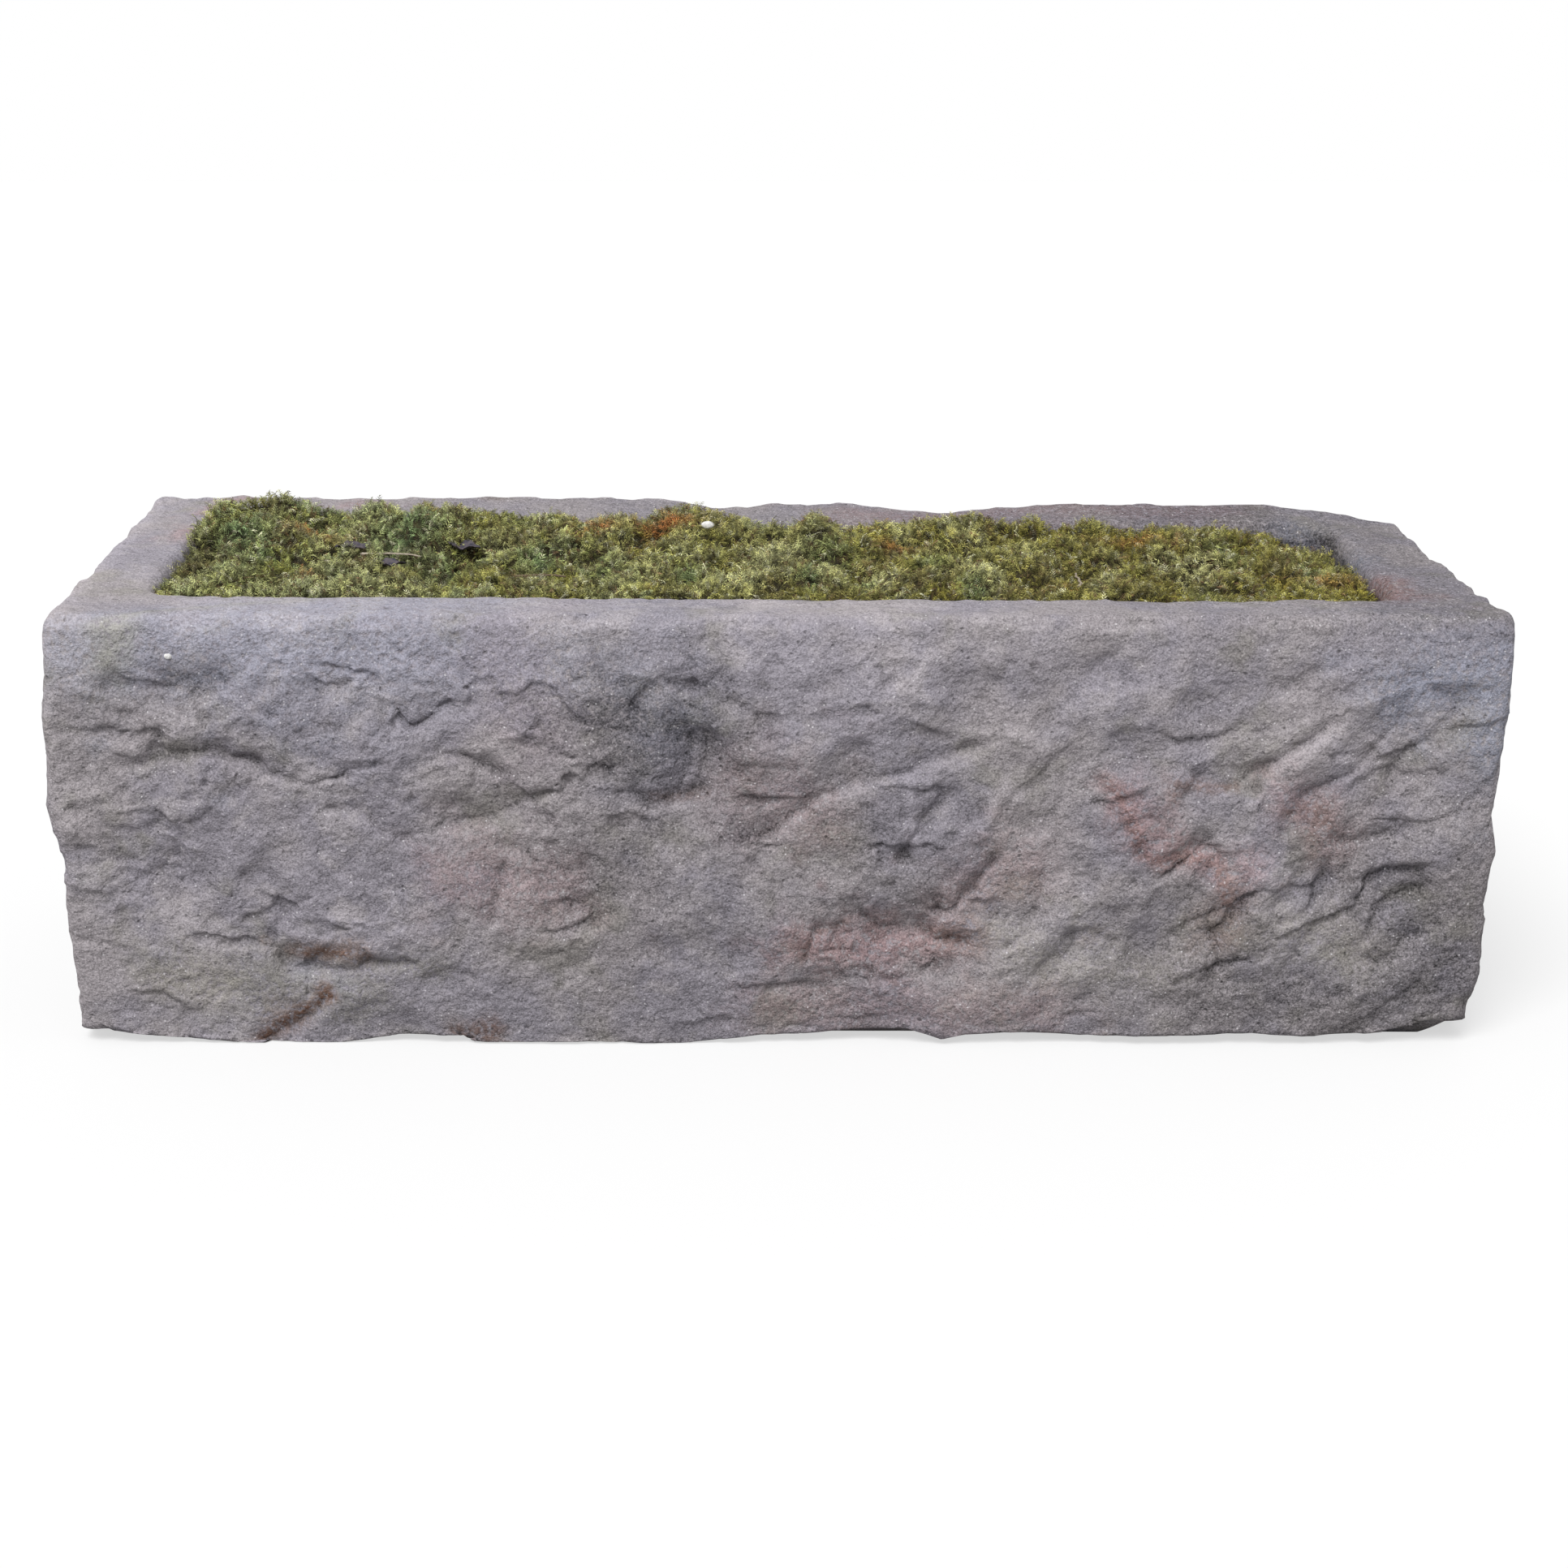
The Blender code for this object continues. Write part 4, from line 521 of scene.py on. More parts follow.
MOSS_DRIFTS = ((0.075, 0.42, 0.58, (0.590, 0.550, 0.125, 1)), (0.045, 0.54, 0.64, (0.510, 0.570, 0.290, 1)),
               (0.030, 0.58, 0.68, (0.250, 0.300, 0.080, 1)), (0.055, 0.57, 0.70, (0.330, 0.250, 0.125, 1)))
# The pale tint also makes the painted highlight on the tops of the small tufts
TUFT_TINTS = ((GOLD, 0.9, (0.335, 0.288, 0.045, 1)), (PALE, 0.9, (0.900, 0.900, 0.470, 1)),
              (GREEN, 1.1, (0.310, 0.445, 0.205, 1)))
ODD_SHOOTS = ((0.88, 0.92, (0.240, 0.150, 0.080, 1)), (0.10, 0.06, (0.850, 0.840, 0.580, 1)))
# Painted shade in the dark gaps and creases between the tufts
PAINTED_GAP_SHADE = (0.150, 0.110, 0.050, 1)
RUSTY_SHOOTS = (0.570, 0.240, 0.080, 1)
LEAF_COLOUR = (0.042, 0.038, 0.055, 1)
LEAF_MOTTLES = ((0.009, 0.40, 0.62, (0.095, 0.080, 0.090, 1)), (0.004, 0.60, 0.72, (0.180, 0.140, 0.125, 1)))

# The studio
FLOOR_HALF_SIZE = 12.0
LAMP_FROM = (-0.24, -0.55, 0.80)
LAMP_STRENGTH = 2.95
LAMP_WIDTH_DEGREES = 32.0
SURROUND_STRENGTH = 0.55
CAMERA_LENS = 57.76
CAMERA_PLACE = (0.0262, -2.7617, 1.0993)
CAMERA_DOWN_DEGREES = 17.709
CAMERA_TURN_DEGREES = 0.275


# Patterns that shape the surfaces

def corner_value(column, row, layer, seed):
    """A value from 0 to 1 for each whole-number place, mixed from its three numbers and the seed."""
    mixed = 0
    for number, prime in zip((column, row, layer, seed), MIXING_PRIMES):
        mixed = mixed ^ (number * prime)
    mixed = (mixed ^ (mixed >> 13)) & 0xFFFFFFFF
    mixed = (mixed * MIXING_FACTOR) & 0xFFFFFFFF
    return ((mixed ^ (mixed >> 16)) & 0xFFFF) / 0xFFFF


def soft_noise(points, cell, seed):
    """
    Noise from -1 to 1: the values at the eight corners of the lattice cube round each point, blended by the
    fade 6t^5 - 15t^4 + 10t^3 along each axis.
    """
    scaled = points / cell
    low = np.floor(scaled).astype(np.int64)
    t = scaled - low
    fade = t ** 3 * (t * (t * 6 - 15) + 10)
    total = np.zeros(len(points))
    for corner in np.ndindex(2, 2, 2):
        weight = np.prod(np.where(corner, fade, 1 - fade), axis=1)
        place = low + np.array(corner)
        total += weight * corner_value(place[:, 0], place[:, 1], place[:, 2], seed)
    return 2 * total - 1


def smooth_step(value, start, end):
    """0 before start, 1 past end, and 3t^2 - 2t^3 between them."""
    t = np.clip((value - start) / (end - start), 0, 1)
    return t * t * (3 - 2 * t)


def fading(distance, half_width):
    """1 in the middle, and less with the distance from it: exp(-(distance / half width)^2)."""
    return np.exp(-(distance / half_width) ** 2)


def from_table(value, table):
    """What a table of (place, amount) rows gives at each value, in straight lines from row to row."""
    places, amounts = np.array(table).T
    return np.interp(value, places, amounts)


def unit_vectors(vectors):
    """Vectors made of length 1."""
    return vectors / np.maximum(np.linalg.norm(vectors, axis=-1, keepdims=True), 1e-9)


def jittered_cells(along, height, size, jitter, seed):
    """
    The nine cells of a jittered grid round each place: how far the place lies from the cell's own point,
    along and up, in cells, and three values from 0 to 1 that the cell keeps. The grid closes round the
    block.
    """
    columns = max(round(GIRTH / size), 3)
    step = GIRTH / columns
    column = np.floor(along / step).astype(np.int64)
    row = np.floor(height / size).astype(np.int64)
    for i, j in np.ndindex(3, 3):
        level = row + j - 1
        values = [corner_value((column + i - 1) % columns, level, layer, seed) for layer in range(1, 6)]
        across = along / step - (column + i - 0.5 + jitter * (values[0] - 0.5))
        up = height / size - (level + 0.5 + jitter * (values[1] - 0.5))
        yield across, up, values[2], values[3], values[4]


def flake_scars(along, height, size, seed):
    """
    Knapped stone, from about -1 to 1: each cell of a jittered grid holds one tilted scoop, a paraboloid
    that is deepest near its middle, and the surface is the lowest of the scoops round it, so they meet in
    ridges.
    """
    lowest = np.full(along.shape, np.inf)
    for across, up, lean_along, lean_up, depth in jittered_cells(along, height, size, SCAR_JITTER, seed):
        tilt = (lean_along - 0.5) * across + (lean_up - 0.5) * up
        lowest = np.minimum(lowest, SCAR_STEEPNESS * (across ** 2 + up ** 2) + tilt - depth)
    return lowest + SCAR_LIFT_SHARE


def split_plates(along, height, size, seed):
    """
    Broken plates of stone, from about -1 to 1: each place takes the tilted plane of the nearest point of a
    jittered grid, so that plates meet in small cliffs.
    """
    nearest = np.full(along.shape, np.inf)
    plates = np.zeros(along.shape)
    for across, up, lean_along, lean_up, depth in jittered_cells(along, height, size, PLATE_JITTER, seed):
        plane = 2 * depth - 1 + (2 * lean_along - 1) * across + (2 * lean_up - 1) * up
        distance = across ** 2 + up ** 2
        plates = np.where(distance < nearest, plane, plates)
        nearest = np.minimum(nearest, distance)
    return plates


def ledge(along, height, row):
    """
    One split ledge, in shares: beside its line the surface sinks by exp(-distance / reach) towards the
    line, and comes back within the edge's width on the other side. It fades out past either end.
    """
    run, side, drop, reach, corners = row
    order = 1 if run == "level" else -1
    forward, sideways = (along, height)[::order]
    ahead, unit = FRONT_UNITS[::order]
    stations, line = np.array(corners).T[::order]
    distance = side * (sideways - np.interp(forward, stations, line)) * unit
    past_end = np.maximum(stations[0] - forward, forward - stations[-1]) * ahead
    strength = 1 - smooth_step(past_end, -LEDGE_FADE_SHARE * LEDGE_REACH * reach, LEDGE_REACH * reach)
    hollow = np.exp(-np.maximum(distance, 0) / (LEDGE_REACH * reach))
    edge = np.exp(np.minimum(distance, 0) / LEDGE_EDGE)
    return -drop * strength * hollow * edge


# The surface of the stone

def girth_place(x, y):
    """The way round the block from the middle of the front, positive to the right, at a point's own side."""
    length_share = np.abs(x) / HALF_LENGTH
    depth_share = np.abs(y) / HALF_DEPTH
    share = np.maximum(np.maximum(length_share, depth_share), 1e-9)
    edge_x = x / share
    edge_y = y / share
    side = np.where(edge_x < 0, -1, 1)
    on_end = side * (HALF_LENGTH + edge_y + HALF_DEPTH)
    on_back = side * (2 * HALF_LENGTH + 2 * HALF_DEPTH - np.abs(edge_x))
    on_long = np.where(y < 0, edge_x, on_back)
    return np.where(length_share >= depth_share, on_end, on_long)


def rim_lift(points, start):
    """
    How far the twist and wear of the rim raise a point: nothing below start, all of it at the rim. The back
    follows the skyline's table, and the ends run straight from the front up to its first and last rows.
    """
    along = points[:, 0] / RIM_UNITS[0]
    backward = np.clip((points[:, 1] + RIM_HALF_DEPTH) / RIM_UNITS[1], 0, 1)
    back = from_table(along, BACK_SKYLINE_SHARES)
    ends = from_table(along, (BACK_SKYLINE_SHARES[0], BACK_SKYLINE_SHARES[-1]))
    lift = BACK_RISE * backward * (ends + (back - ends) * smooth_step(backward, 0.5, 1.0))
    return lift * smooth_step(points[:, 2], start, FRONT_HEIGHT)


def round_arrises(points, radius):
    """
    Moves points of the plain block on to the same block with rounded arrises, and gives their normals: the
    nearest point of the core that stands a radius inside, plus a radius along the way to it.
    """
    low = np.array((radius - HALF_LENGTH, radius - HALF_DEPTH, radius))
    high = np.array((HALF_LENGTH - radius, HALF_DEPTH - radius, FRONT_HEIGHT - radius))
    core = np.clip(points, low, high)
    core[:, 2] = np.minimum(points[:, 2], high[2])
    way = points - core
    normals = unit_vectors(way)
    return np.where(np.abs(way).max(axis=1, keepdims=True) > 0, core + radius * normals, points), normals


def plan_stretch(points):
    """
    How much the plan is stretched along and across at each height, so that the sides swell past the rim:
    for a share s of the full swell, by 1 + (s - 1) * swell / half size.
    """
    height_share = points[:, 2] / FRONT_HEIGHT
    left, right, face = [from_table(height_share, table)
                         for table in (LEFT_END_SHARES, RIGHT_END_SHARES, LONG_FACE_SHARES)]
    end = np.where(points[:, 0] < 0, left, right)
    return np.stack((1 + (end - 1) * END_BULGE / HALF_LENGTH,
                     1 + (face - 1) * FACE_BULGE / HALF_DEPTH), axis=1)


def pattern_slant(place):
    """How far the pattern climbs to the right of the front, and back to nothing by the middle of the back."""
    front_right = np.clip(place, 0, HALF_LENGTH) / HALF_LENGTH
    return SLANT_RISE * front_right ** 2 * (1 - smooth_step(place, GIRTH / 2 - SLANT_RISE, GIRTH / 2))


def jags(points):
    """Two sets of noises of two sizes each, over one slower wobble, that make every edge jagged."""
    wobble = soft_noise(points, CHIP_SIZE / 2, 43) * FLAKE_SIZE / 2
    return [wobble + JAG_REACH * soft_noise(points, JAG_SIZE, seed)
            + JAG_REACH / 2 * soft_noise(points, JAG_SIZE / 2, seed + 1) for seed in (45, 47)]


def held_back(relief):
    """Relief worked down where it stands proud of the stone: limit * (1 - exp(-relief / limit))."""
    proud = PROUD_LIMIT * (1 - np.exp(-np.maximum(relief, 0) / PROUD_LIMIT))
    return np.where(relief > 0, proud, relief)


def rock_relief(points, place):
    """
    The depth of the split rock face. Its large forms are swells, bedding that comes and goes, two sizes of
    flake scar and the front's ledges, and they are held back where they stand proud. Lumps, billows at the
    right, and plates, splinters and flakes where the face is rough lie over them.
    """
    height = points[:, 2]
    warp = soft_noise(points, SWELL_SIZE / 2, 5) * SCAR_SIZE / 4
    slant = pattern_slant(place)
    jag_along, jag_up = jags(points)
    climbing = height * SCAR_FLATNESS_SHARE + warp - slant
    scars = flake_scars(place + warp + jag_along, climbing + jag_up, SCAR_SIZE, 11)
    chips = flake_scars(place - warp + jag_up, climbing - jag_along, CHIP_SIZE, 23)
    flakes = flake_scars(place + warp - jag_along, climbing + jag_up, FLAKE_SIZE, 29)
    beds = (height + warp + BED_JAG_SHARE * jag_up - BED_SLANT_SHARE * slant) / BED_HEIGHT
    bedded = smooth_step(soft_noise(points, SCAR_SIZE / 2, 49), *BED_NOISE_RANGE)
    bedding = (beds - np.floor(beds) - 0.5) * bedded
    relief = SCAR_DEPTH * scars + CHIP_DEPTH * chips
    relief += SWELL_DEPTH * soft_noise(points, SWELL_SIZE, 3) - BED_DEPTH * bedding
    along_share = (place + LEDGE_WARP_SHARE * warp + LEDGE_JAG_SHARE * jag_along) / FRONT_UNITS[0]
    height_share = (height + LEDGE_WARP_SHARE * warp + LEDGE_JAG_SHARE * jag_up) / FRONT_UNITS[1]
    for row in LEDGE_SHARES:
        relief += LEDGE_DROP * ledge(along_share, height_share, row)
    relief = held_back(relief)
    for share, seed in ((1, 89), (2, 91)):
        relief += LUMP_DEPTH / share * soft_noise(points, LUMP_SIZE / share, seed)
    billows, at_right = billow_lumps(points, place)
    relief += BILLOW_DEPTH / 2 * billows * at_right
    leaning = height - PLATE_SLANT_SHARE * slant
    plates = split_plates(place + PLATE_WARP_SHARE * warp + PLATE_JAG * jag_up,
                          PLATE_FLATNESS_SHARE * (leaning + PLATE_JAG * jag_along), PLATE_SIZE, 83)
    splinters = split_plates(place + PLATE_JAG * jag_along,
                             PLATE_FLATNESS_SHARE * (leaning + SPLINTER_JAG * jag_up), SPLINTER_SIZE, 85)
    rough = smooth_step(soft_noise(points, ROUGH_SIZE, 87), *ROUGH_NOISE_RANGE)
    rough = (ROUGH_LEAST_SHARE + (1 - ROUGH_LEAST_SHARE) * rough) * (1 - BILLOW_CALM_SHARE * at_right)
    return relief + rough * (PLATE_DEPTH * plates + SPLINTER_DEPTH * splinters + FLAKE_DEPTH * flakes)


def billow_lumps(points, place):
    """
    Soft slanting lumps with rounded tops and narrow valleys, from about -1 to 1: the size of a noise that
    is drawn out along the slant, to a power, and how much of them a place has, all of it on the right.
    """
    turn = math.radians(BILLOW_TURN_DEGREES)
    along = place * math.cos(turn) + points[:, 2] * math.sin(turn)
    across = points[:, 2] * math.cos(turn) - place * math.sin(turn)
    bent = across + BILLOW_WIDTH / 3 * soft_noise(points, BILLOW_LENGTH / 2, 93)
    lattice = np.stack((along * BILLOW_WIDTH / BILLOW_LENGTH, bent, 0 * bent), axis=1)
    size = np.abs(soft_noise(lattice, BILLOW_WIDTH, 95))
    share = smooth_step(place, BILLOW_START, BILLOW_FULL)
    share *= 1 - smooth_step(place, HALF_LENGTH + HALF_DEPTH, 2 * HALF_LENGTH)
    return 2 * (size / BILLOW_LEVEL) ** BILLOW_POWER - BILLOW_SINK, share


def calmness(points):
    """
    The share of the relief that is left: little in the margin under the rim, and a part of it at the
    standing corners and the foot. A noise makes the margin's lower edge and the foot's upper one wander.
    """
    wavy_height = points[:, 2] - soft_noise(points, WEAR_SIZE, 7) * MARGIN_HEIGHT * MARGIN_WAVE_SHARE
    from_corner = np.maximum(HALF_LENGTH - np.abs(points[:, 0]), HALF_DEPTH - np.abs(points[:, 1]))
    margin_start, margin_end = np.array(MARGIN_FADE_SHARES) * MARGIN_HEIGHT
    calm = np.ones(len(points))
    for share, off in ((MARGIN_SHARE, smooth_step(FRONT_HEIGHT - wavy_height, margin_start, margin_end)),
                       (CORNER_SHARE, smooth_step(from_corner, 0, CORNER_REACH)),
                       (FOOT_SHARE, smooth_step(wavy_height, FOOT_HEIGHT / 3, FOOT_HEIGHT))):
        calm *= share + (1 - share) * off
    return calm


def chip_base(points, place):
    """
    How far the lower edge is raised where it is chipped away, fading up the side and in under the base. The
    front follows its table, and the other sides a slow noise about a mean share.
    """
    on_front = from_table(place / FRONT_UNITS[0], FRONT_CHIP_SHARES)
    elsewhere = CHIP_MEAN_SHARE + CHIP_SWING_SHARE * soft_noise(points * (1, 1, 0), SCAR_SIZE / 2, 31)
    past_corner = smooth_step(np.abs(place), HALF_LENGTH, HALF_LENGTH + CORNER_REACH)
    chip = on_front + (elsewhere - on_front) * past_corner
    chip = np.maximum(chip, LEAST_CHIP_SHARE) * BASE_CHIP
    inside = np.minimum(HALF_LENGTH - np.abs(points[:, 0]), HALF_DEPTH - np.abs(points[:, 1]))
    return chip * np.clip(1 - inside / CHIP_REACH, 0, 1) * np.clip(1 - points[:, 2] / CHIP_CLIMB, 0, 1)


def grain_relief(points):
    """The roughness of the sandstone itself: the noises of the grain's table, added up."""
    return sum(depth * soft_noise(points, cell, seed) for cell, depth, seed in STONE_GRAIN)


def fill_corners(stone):
    """
    Draws the ends out by their fills at the front, and not at all from the middle back. What nears the full
    length is held in by limit - soft * log(1 + exp((limit - x) / soft)).
    """
    x = np.abs(stone[:, 0])
    front = 1 - smooth_step(stone[:, 1], -HALF_DEPTH, HALF_DEPTH / 4)
    fill = np.where(stone[:, 0] < 0, LEFT_FILL, RIGHT_FILL)
    filled = x + fill * smooth_step(x, RIM_HALF_LENGTH - WALL_THICKNESS, HALF_LENGTH - ARRIS_RADIUS)
    limit = HALF_LENGTH + FILL_LIMIT / 2
    held = limit - FILL_LIMIT * np.logaddexp(0, (limit - filled) / FILL_LIMIT)
    stone[:, 0] = np.sign(stone[:, 0]) * (x + front * (held - x))


def weather(points):
    """
    Turns points of the plain block into points of the weathered stone, at its full length and depth, and
    gives the depth of the rock face at each.
    """
    place = girth_place(points[:, 0], points[:, 1])
    raised = chip_base(points, place)
    rounded, normals = round_arrises(points, ARRIS_RADIUS)
    level = normals.copy()
    level[:, 2] = 0
    relief = calmness(points) * rock_relief(points, place)
    stone = rounded + level * relief[:, None]
    stone[:, :2] *= plan_stretch(points)
    stone[:, 2] += raised + rim_lift(points, FRONT_HEIGHT / 2)
    stone[:, 2] += np.maximum(normals[:, 2], 0) * WEAR_DEPTH * soft_noise(points, WEAR_SIZE, 13)
    for axis, full in ((0, TROUGH_LENGTH), (1, TROUGH_DEPTH)):
        low = stone[:, axis].min()
        high = stone[:, axis].max()
        stone[:, axis] = (stone[:, axis] - (low + high) / 2) * full / (high - low)
    fill_corners(stone)
    on_arris = 2 * normals[:, 2] * np.linalg.norm(level, axis=1)
    worn = on_arris * ARRIS_WEAR_DEPTH * soft_noise(points, ARRIS_WEAR_SIZE, 97)
    stone += normals * (grain_relief(points) + worn)[:, None]
    return stone, relief


def side_stations(spacings):
    """
    Stations round the plan, anticlockwise from the left end of the front: for each of the four sides, even
    steps of about its own spacing from one corner up to the next.
    """
    corners = np.array(((-1, -1), (1, -1), (1, 1), (-1, 1), (-1, -1))) * (HALF_LENGTH, HALF_DEPTH)
    runs = []
    for start, end, spacing in zip(corners[:-1], corners[1:], spacings):
        count = round(np.abs(end - start).max() / spacing)
        share = np.arange(count)[:, None] / count
        runs.append(start + (end - start) * share)
    return np.concatenate(runs)


def mouth_outline(edge, inset):
    """The hollow's rounded outline, drawn in by an inset: the nearest core point plus the corner's radius."""
    half = np.array((MOUTH_HALF_LENGTH, MOUTH_HALF_DEPTH))
    points = edge / np.array((HALF_LENGTH, HALF_DEPTH)) * half
    core = np.clip(points, CAVITY_CORNER_RADIUS - half, half - CAVITY_CORNER_RADIUS)
    return core + unit_vectors(points - core) * (CAVITY_CORNER_RADIUS - inset)


def even_steps(low, high, spacing):
    """Places from low up to, but without, high, about one spacing apart."""
    count = max(round(abs(high - low) / spacing), 1)
    return low + (high - low) * np.arange(count) / count


def at_height(plan, height):
    """Plan points, all at one height."""
    return np.column_stack((plan, np.full(len(plan), height)))


def outer_rows(edge, spacing):
    """The rows of the plain block from the middle of its base, up the sides and in over the rim."""
    hole = unit_vectors(edge) * DRAIN_RADIUS
    scale = np.array((HALF_LENGTH, HALF_DEPTH))
    fade_edge = edge * (1 - CHIP_REACH / scale)
    rows = [at_height(hole + (fade_edge - hole) * share, 0) for share in BASE_RING_SHARES]
    rows += [at_height(edge * (1 - inset / scale), 0) for inset in even_steps(CHIP_REACH, 0, spacing * 3)[1:]]
    core_top = FRONT_HEIGHT - ARRIS_RADIUS
    heights = np.concatenate((even_steps(0, core_top, spacing), even_steps(core_top, FRONT_HEIGHT, spacing)))
    rows += [at_height(edge, height) for height in heights]
    lip = mouth_outline(edge, -LIP_RADIUS)
    shares = even_steps(0, 1, spacing / WALL_THICKNESS)
    return rows + [at_height(edge + (lip - edge) * share, FRONT_HEIGHT) for share in shares]


def inner_rows(edge, spacing):
    """The rows of the hollow, from the top of its lip down the leaning walls to the drain hole's foot."""
    rows = [at_height(mouth_outline(edge, -LIP_RADIUS * (1 - math.sin(turn))),
                      FRONT_HEIGHT - LIP_RADIUS * (1 - math.cos(turn)))
            for turn in np.linspace(0, math.pi / 2, LIP_ROWS)]
    heights = np.concatenate((even_steps(FRONT_HEIGHT - LIP_RADIUS, COMPOST_TOP, spacing * 1.5)[1:],
                              np.linspace(COMPOST_TOP, FLOOR_THICKNESS, BURIED_ROWS)))
    rows += [at_height(mouth_outline(edge, CAVITY_DRAFT * (FRONT_HEIGHT - height) / HOLLOW_DEPTH), height)
             for height in heights]
    hole = unit_vectors(edge) * DRAIN_RADIUS
    floor = rows[-1][:, :2]
    rows += [at_height(floor + (hole - floor) * share, FLOOR_THICKNESS) for share in (0.5, 1)]
    return rows + [at_height(hole, FLOOR_THICKNESS / 2)]


def ring_faces(rows, columns):
    """Four-cornered faces of a grid that closes on itself both ways."""
    first = np.arange(rows * columns).reshape(rows, columns)
    right = np.roll(first, -1, axis=1)
    up = np.roll(first, -1, axis=0)
    return np.stack((first, right, np.roll(right, -1, axis=0), up), axis=-1).reshape(-1, 4)


def mesh_from(name, points, faces):
    """A mesh from whole arrays of points and of faces that all have as many corners."""
    mesh = bpy.data.meshes.new(name)
    sides = faces.shape[1]
    mesh.vertices.add(len(points))
    mesh.vertices.foreach_set("co", points.astype(np.float32).ravel())
    mesh.loops.add(faces.size)
    mesh.loops.foreach_set("vertex_index", faces.astype(np.int32).ravel())
    mesh.polygons.add(len(faces))
    mesh.polygons.foreach_set("loop_start", np.arange(0, faces.size, sides, dtype=np.int32))
    mesh.update(calc_edges=True)
    mesh.validate()
    return mesh


def keep_values(mesh, name, values):
    """Keeps one number, or four, for each vertex under a name that materials can read."""
    kind, field = ("FLOAT", "value") if values.ndim == 1 else ("FLOAT_COLOR", "color")
    attribute = mesh.attributes.new(name, kind, "POINT")
    attribute.data.foreach_set(field, values.astype(np.float32).ravel())


def piece_from(name, mesh, material, stands_for, smooth=True):
    """A finished piece on the one body: its mesh, material and slot, and the nodes that it stands for."""
    if smooth:
        mesh.shade_smooth()
    mesh.materials.append(material)
    piece = bpy.data.objects.new(name, mesh)
    bpy.context.scene.collection.objects.link(piece)
    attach(piece, "root")
    if stands_for:
        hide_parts(*stands_for)
    return piece


def closed_rings(start, rings, end):
    """
    A closed surface: rings of as many points each, one after another, and a point that closes each end. The
    rings turn anticlockwise as the start sees them.
    """
    count, around = rings.shape[:2]
    points = np.concatenate((start[None], rings.reshape(-1, 3), end[None]))
    ring = 1 + np.arange(count * around).reshape(count, around)
    after = np.roll(ring, -1, axis=1)
    sides = np.concatenate((np.stack((ring[:-1], ring[1:], after[1:]), axis=-1).reshape(-1, 3),
                            np.stack((ring[:-1], after[1:], after[:-1]), axis=-1).reshape(-1, 3)))
    first = np.stack((np.zeros(around, int), ring[0], after[0]), axis=-1)
    last = np.stack((np.full(around, len(points) - 1), after[-1], ring[-1]), axis=-1)
    return points, np.concatenate((first, sides, last))


# The trough

def distance_to_line(first, second, corners, unit):
    """The least distance from each place, two shares of the unit lengths, to a line of corners, in metres."""
    unit = np.array(unit)
    places = np.stack((first, second), axis=1) * unit
    corners = np.array(corners) * unit
    nearest = np.full(len(places), np.inf)
    for start, end in zip(corners[:-1], corners[1:]):
        way = end - start
        share = np.clip((places - start) @ way / (way @ way), 0, 1)
        nearest = np.minimum(nearest, np.linalg.norm(places - start - share[:, None] * way, axis=1))
    return nearest


def block_tone(points):
    """
    How pale or dark the block is in the large, from -1 to 1: the worked margin under the rim is paler, most
    at the left, the rim and the foot are darker to the right, and so is the lower half but for its left
    end.
    """
    height = points[:, 2] / FRONT_HEIGHT
    side = points[:, 0] / FRONT_UNITS[0]
    margin = smooth_step(height + MARGIN_TONE_WAVE * soft_noise(points, WEAR_SIZE, 7), *MARGIN_TONE_HEIGHTS)
    tone = MARGIN_TONE * (1 - MARGIN_TONE_LEAN * side) + LEFT_TONE * smooth_step(-side, *LEFT_TONE_SIDES)
    tone *= margin
    tone -= RIGHT_TONE * smooth_step(side, *RIGHT_TONE_SIDES) * smooth_step(height, *RIM_TONE_HEIGHTS)
    low = 1 - smooth_step(height, *RIGHT_FOOT_HEIGHTS)
    tone -= RIGHT_TONE / 2 * smooth_step(side, *RIGHT_FOOT_SIDES) * low
    tone -= LOW_TONE * (1 - smooth_step(height, *LOW_TONE_HEIGHTS)) * smooth_step(side, *LOW_TONE_SIDES)
    return tone


def unevenness(points, slow, fine):
    """What a stain's distances are multiplied by to make its edge wander: 1, a slow noise and a fine one."""
    return 1 + slow * soft_noise(points, CHIP_SIZE / 2, 61) + fine * soft_noise(points, FLAKE_SIZE / 2, 63)


def strongest_stains(first, second, units, rows, uneven, where):
    """
    Four stain strengths for each place, two shares of the unit lengths. Near a row's line of corners a
    stain is exp(-(distance * unevenness / half width)^2) of its strength, and the strongest row of a colour
    counts.
    """
    stains = np.zeros((len(first), 4))
    for kind, strength, half_width, corners in rows:
        distance = distance_to_line(first, second, corners, units)
        stain = strength * fading(distance * uneven, half_width) * where
        stains[:, kind] = np.maximum(stains[:, kind], stain)
    return stains


def front_stains(points, place):
    """Four stain strengths for each point of the plain block, on the front alone, and its tone."""
    along = place / FRONT_UNITS[0]
    height = points[:, 2] / FRONT_UNITS[1]
    uneven = unevenness(points, *FRONT_STAIN_WANDER)
    on_front = 1 - smooth_step(np.abs(place), HALF_LENGTH, HALF_LENGTH + ARRIS_RADIUS)
    tone = block_tone(points)
    for strength, half_width, corners in TONE_LINE_SHARES:
        distance = distance_to_line(along, height, corners, FRONT_UNITS)
        tone += strength * fading(distance * uneven, half_width) * on_front
    return strongest_stains(along, height, FRONT_UNITS, STAIN_LINE_SHARES, uneven, on_front), tone


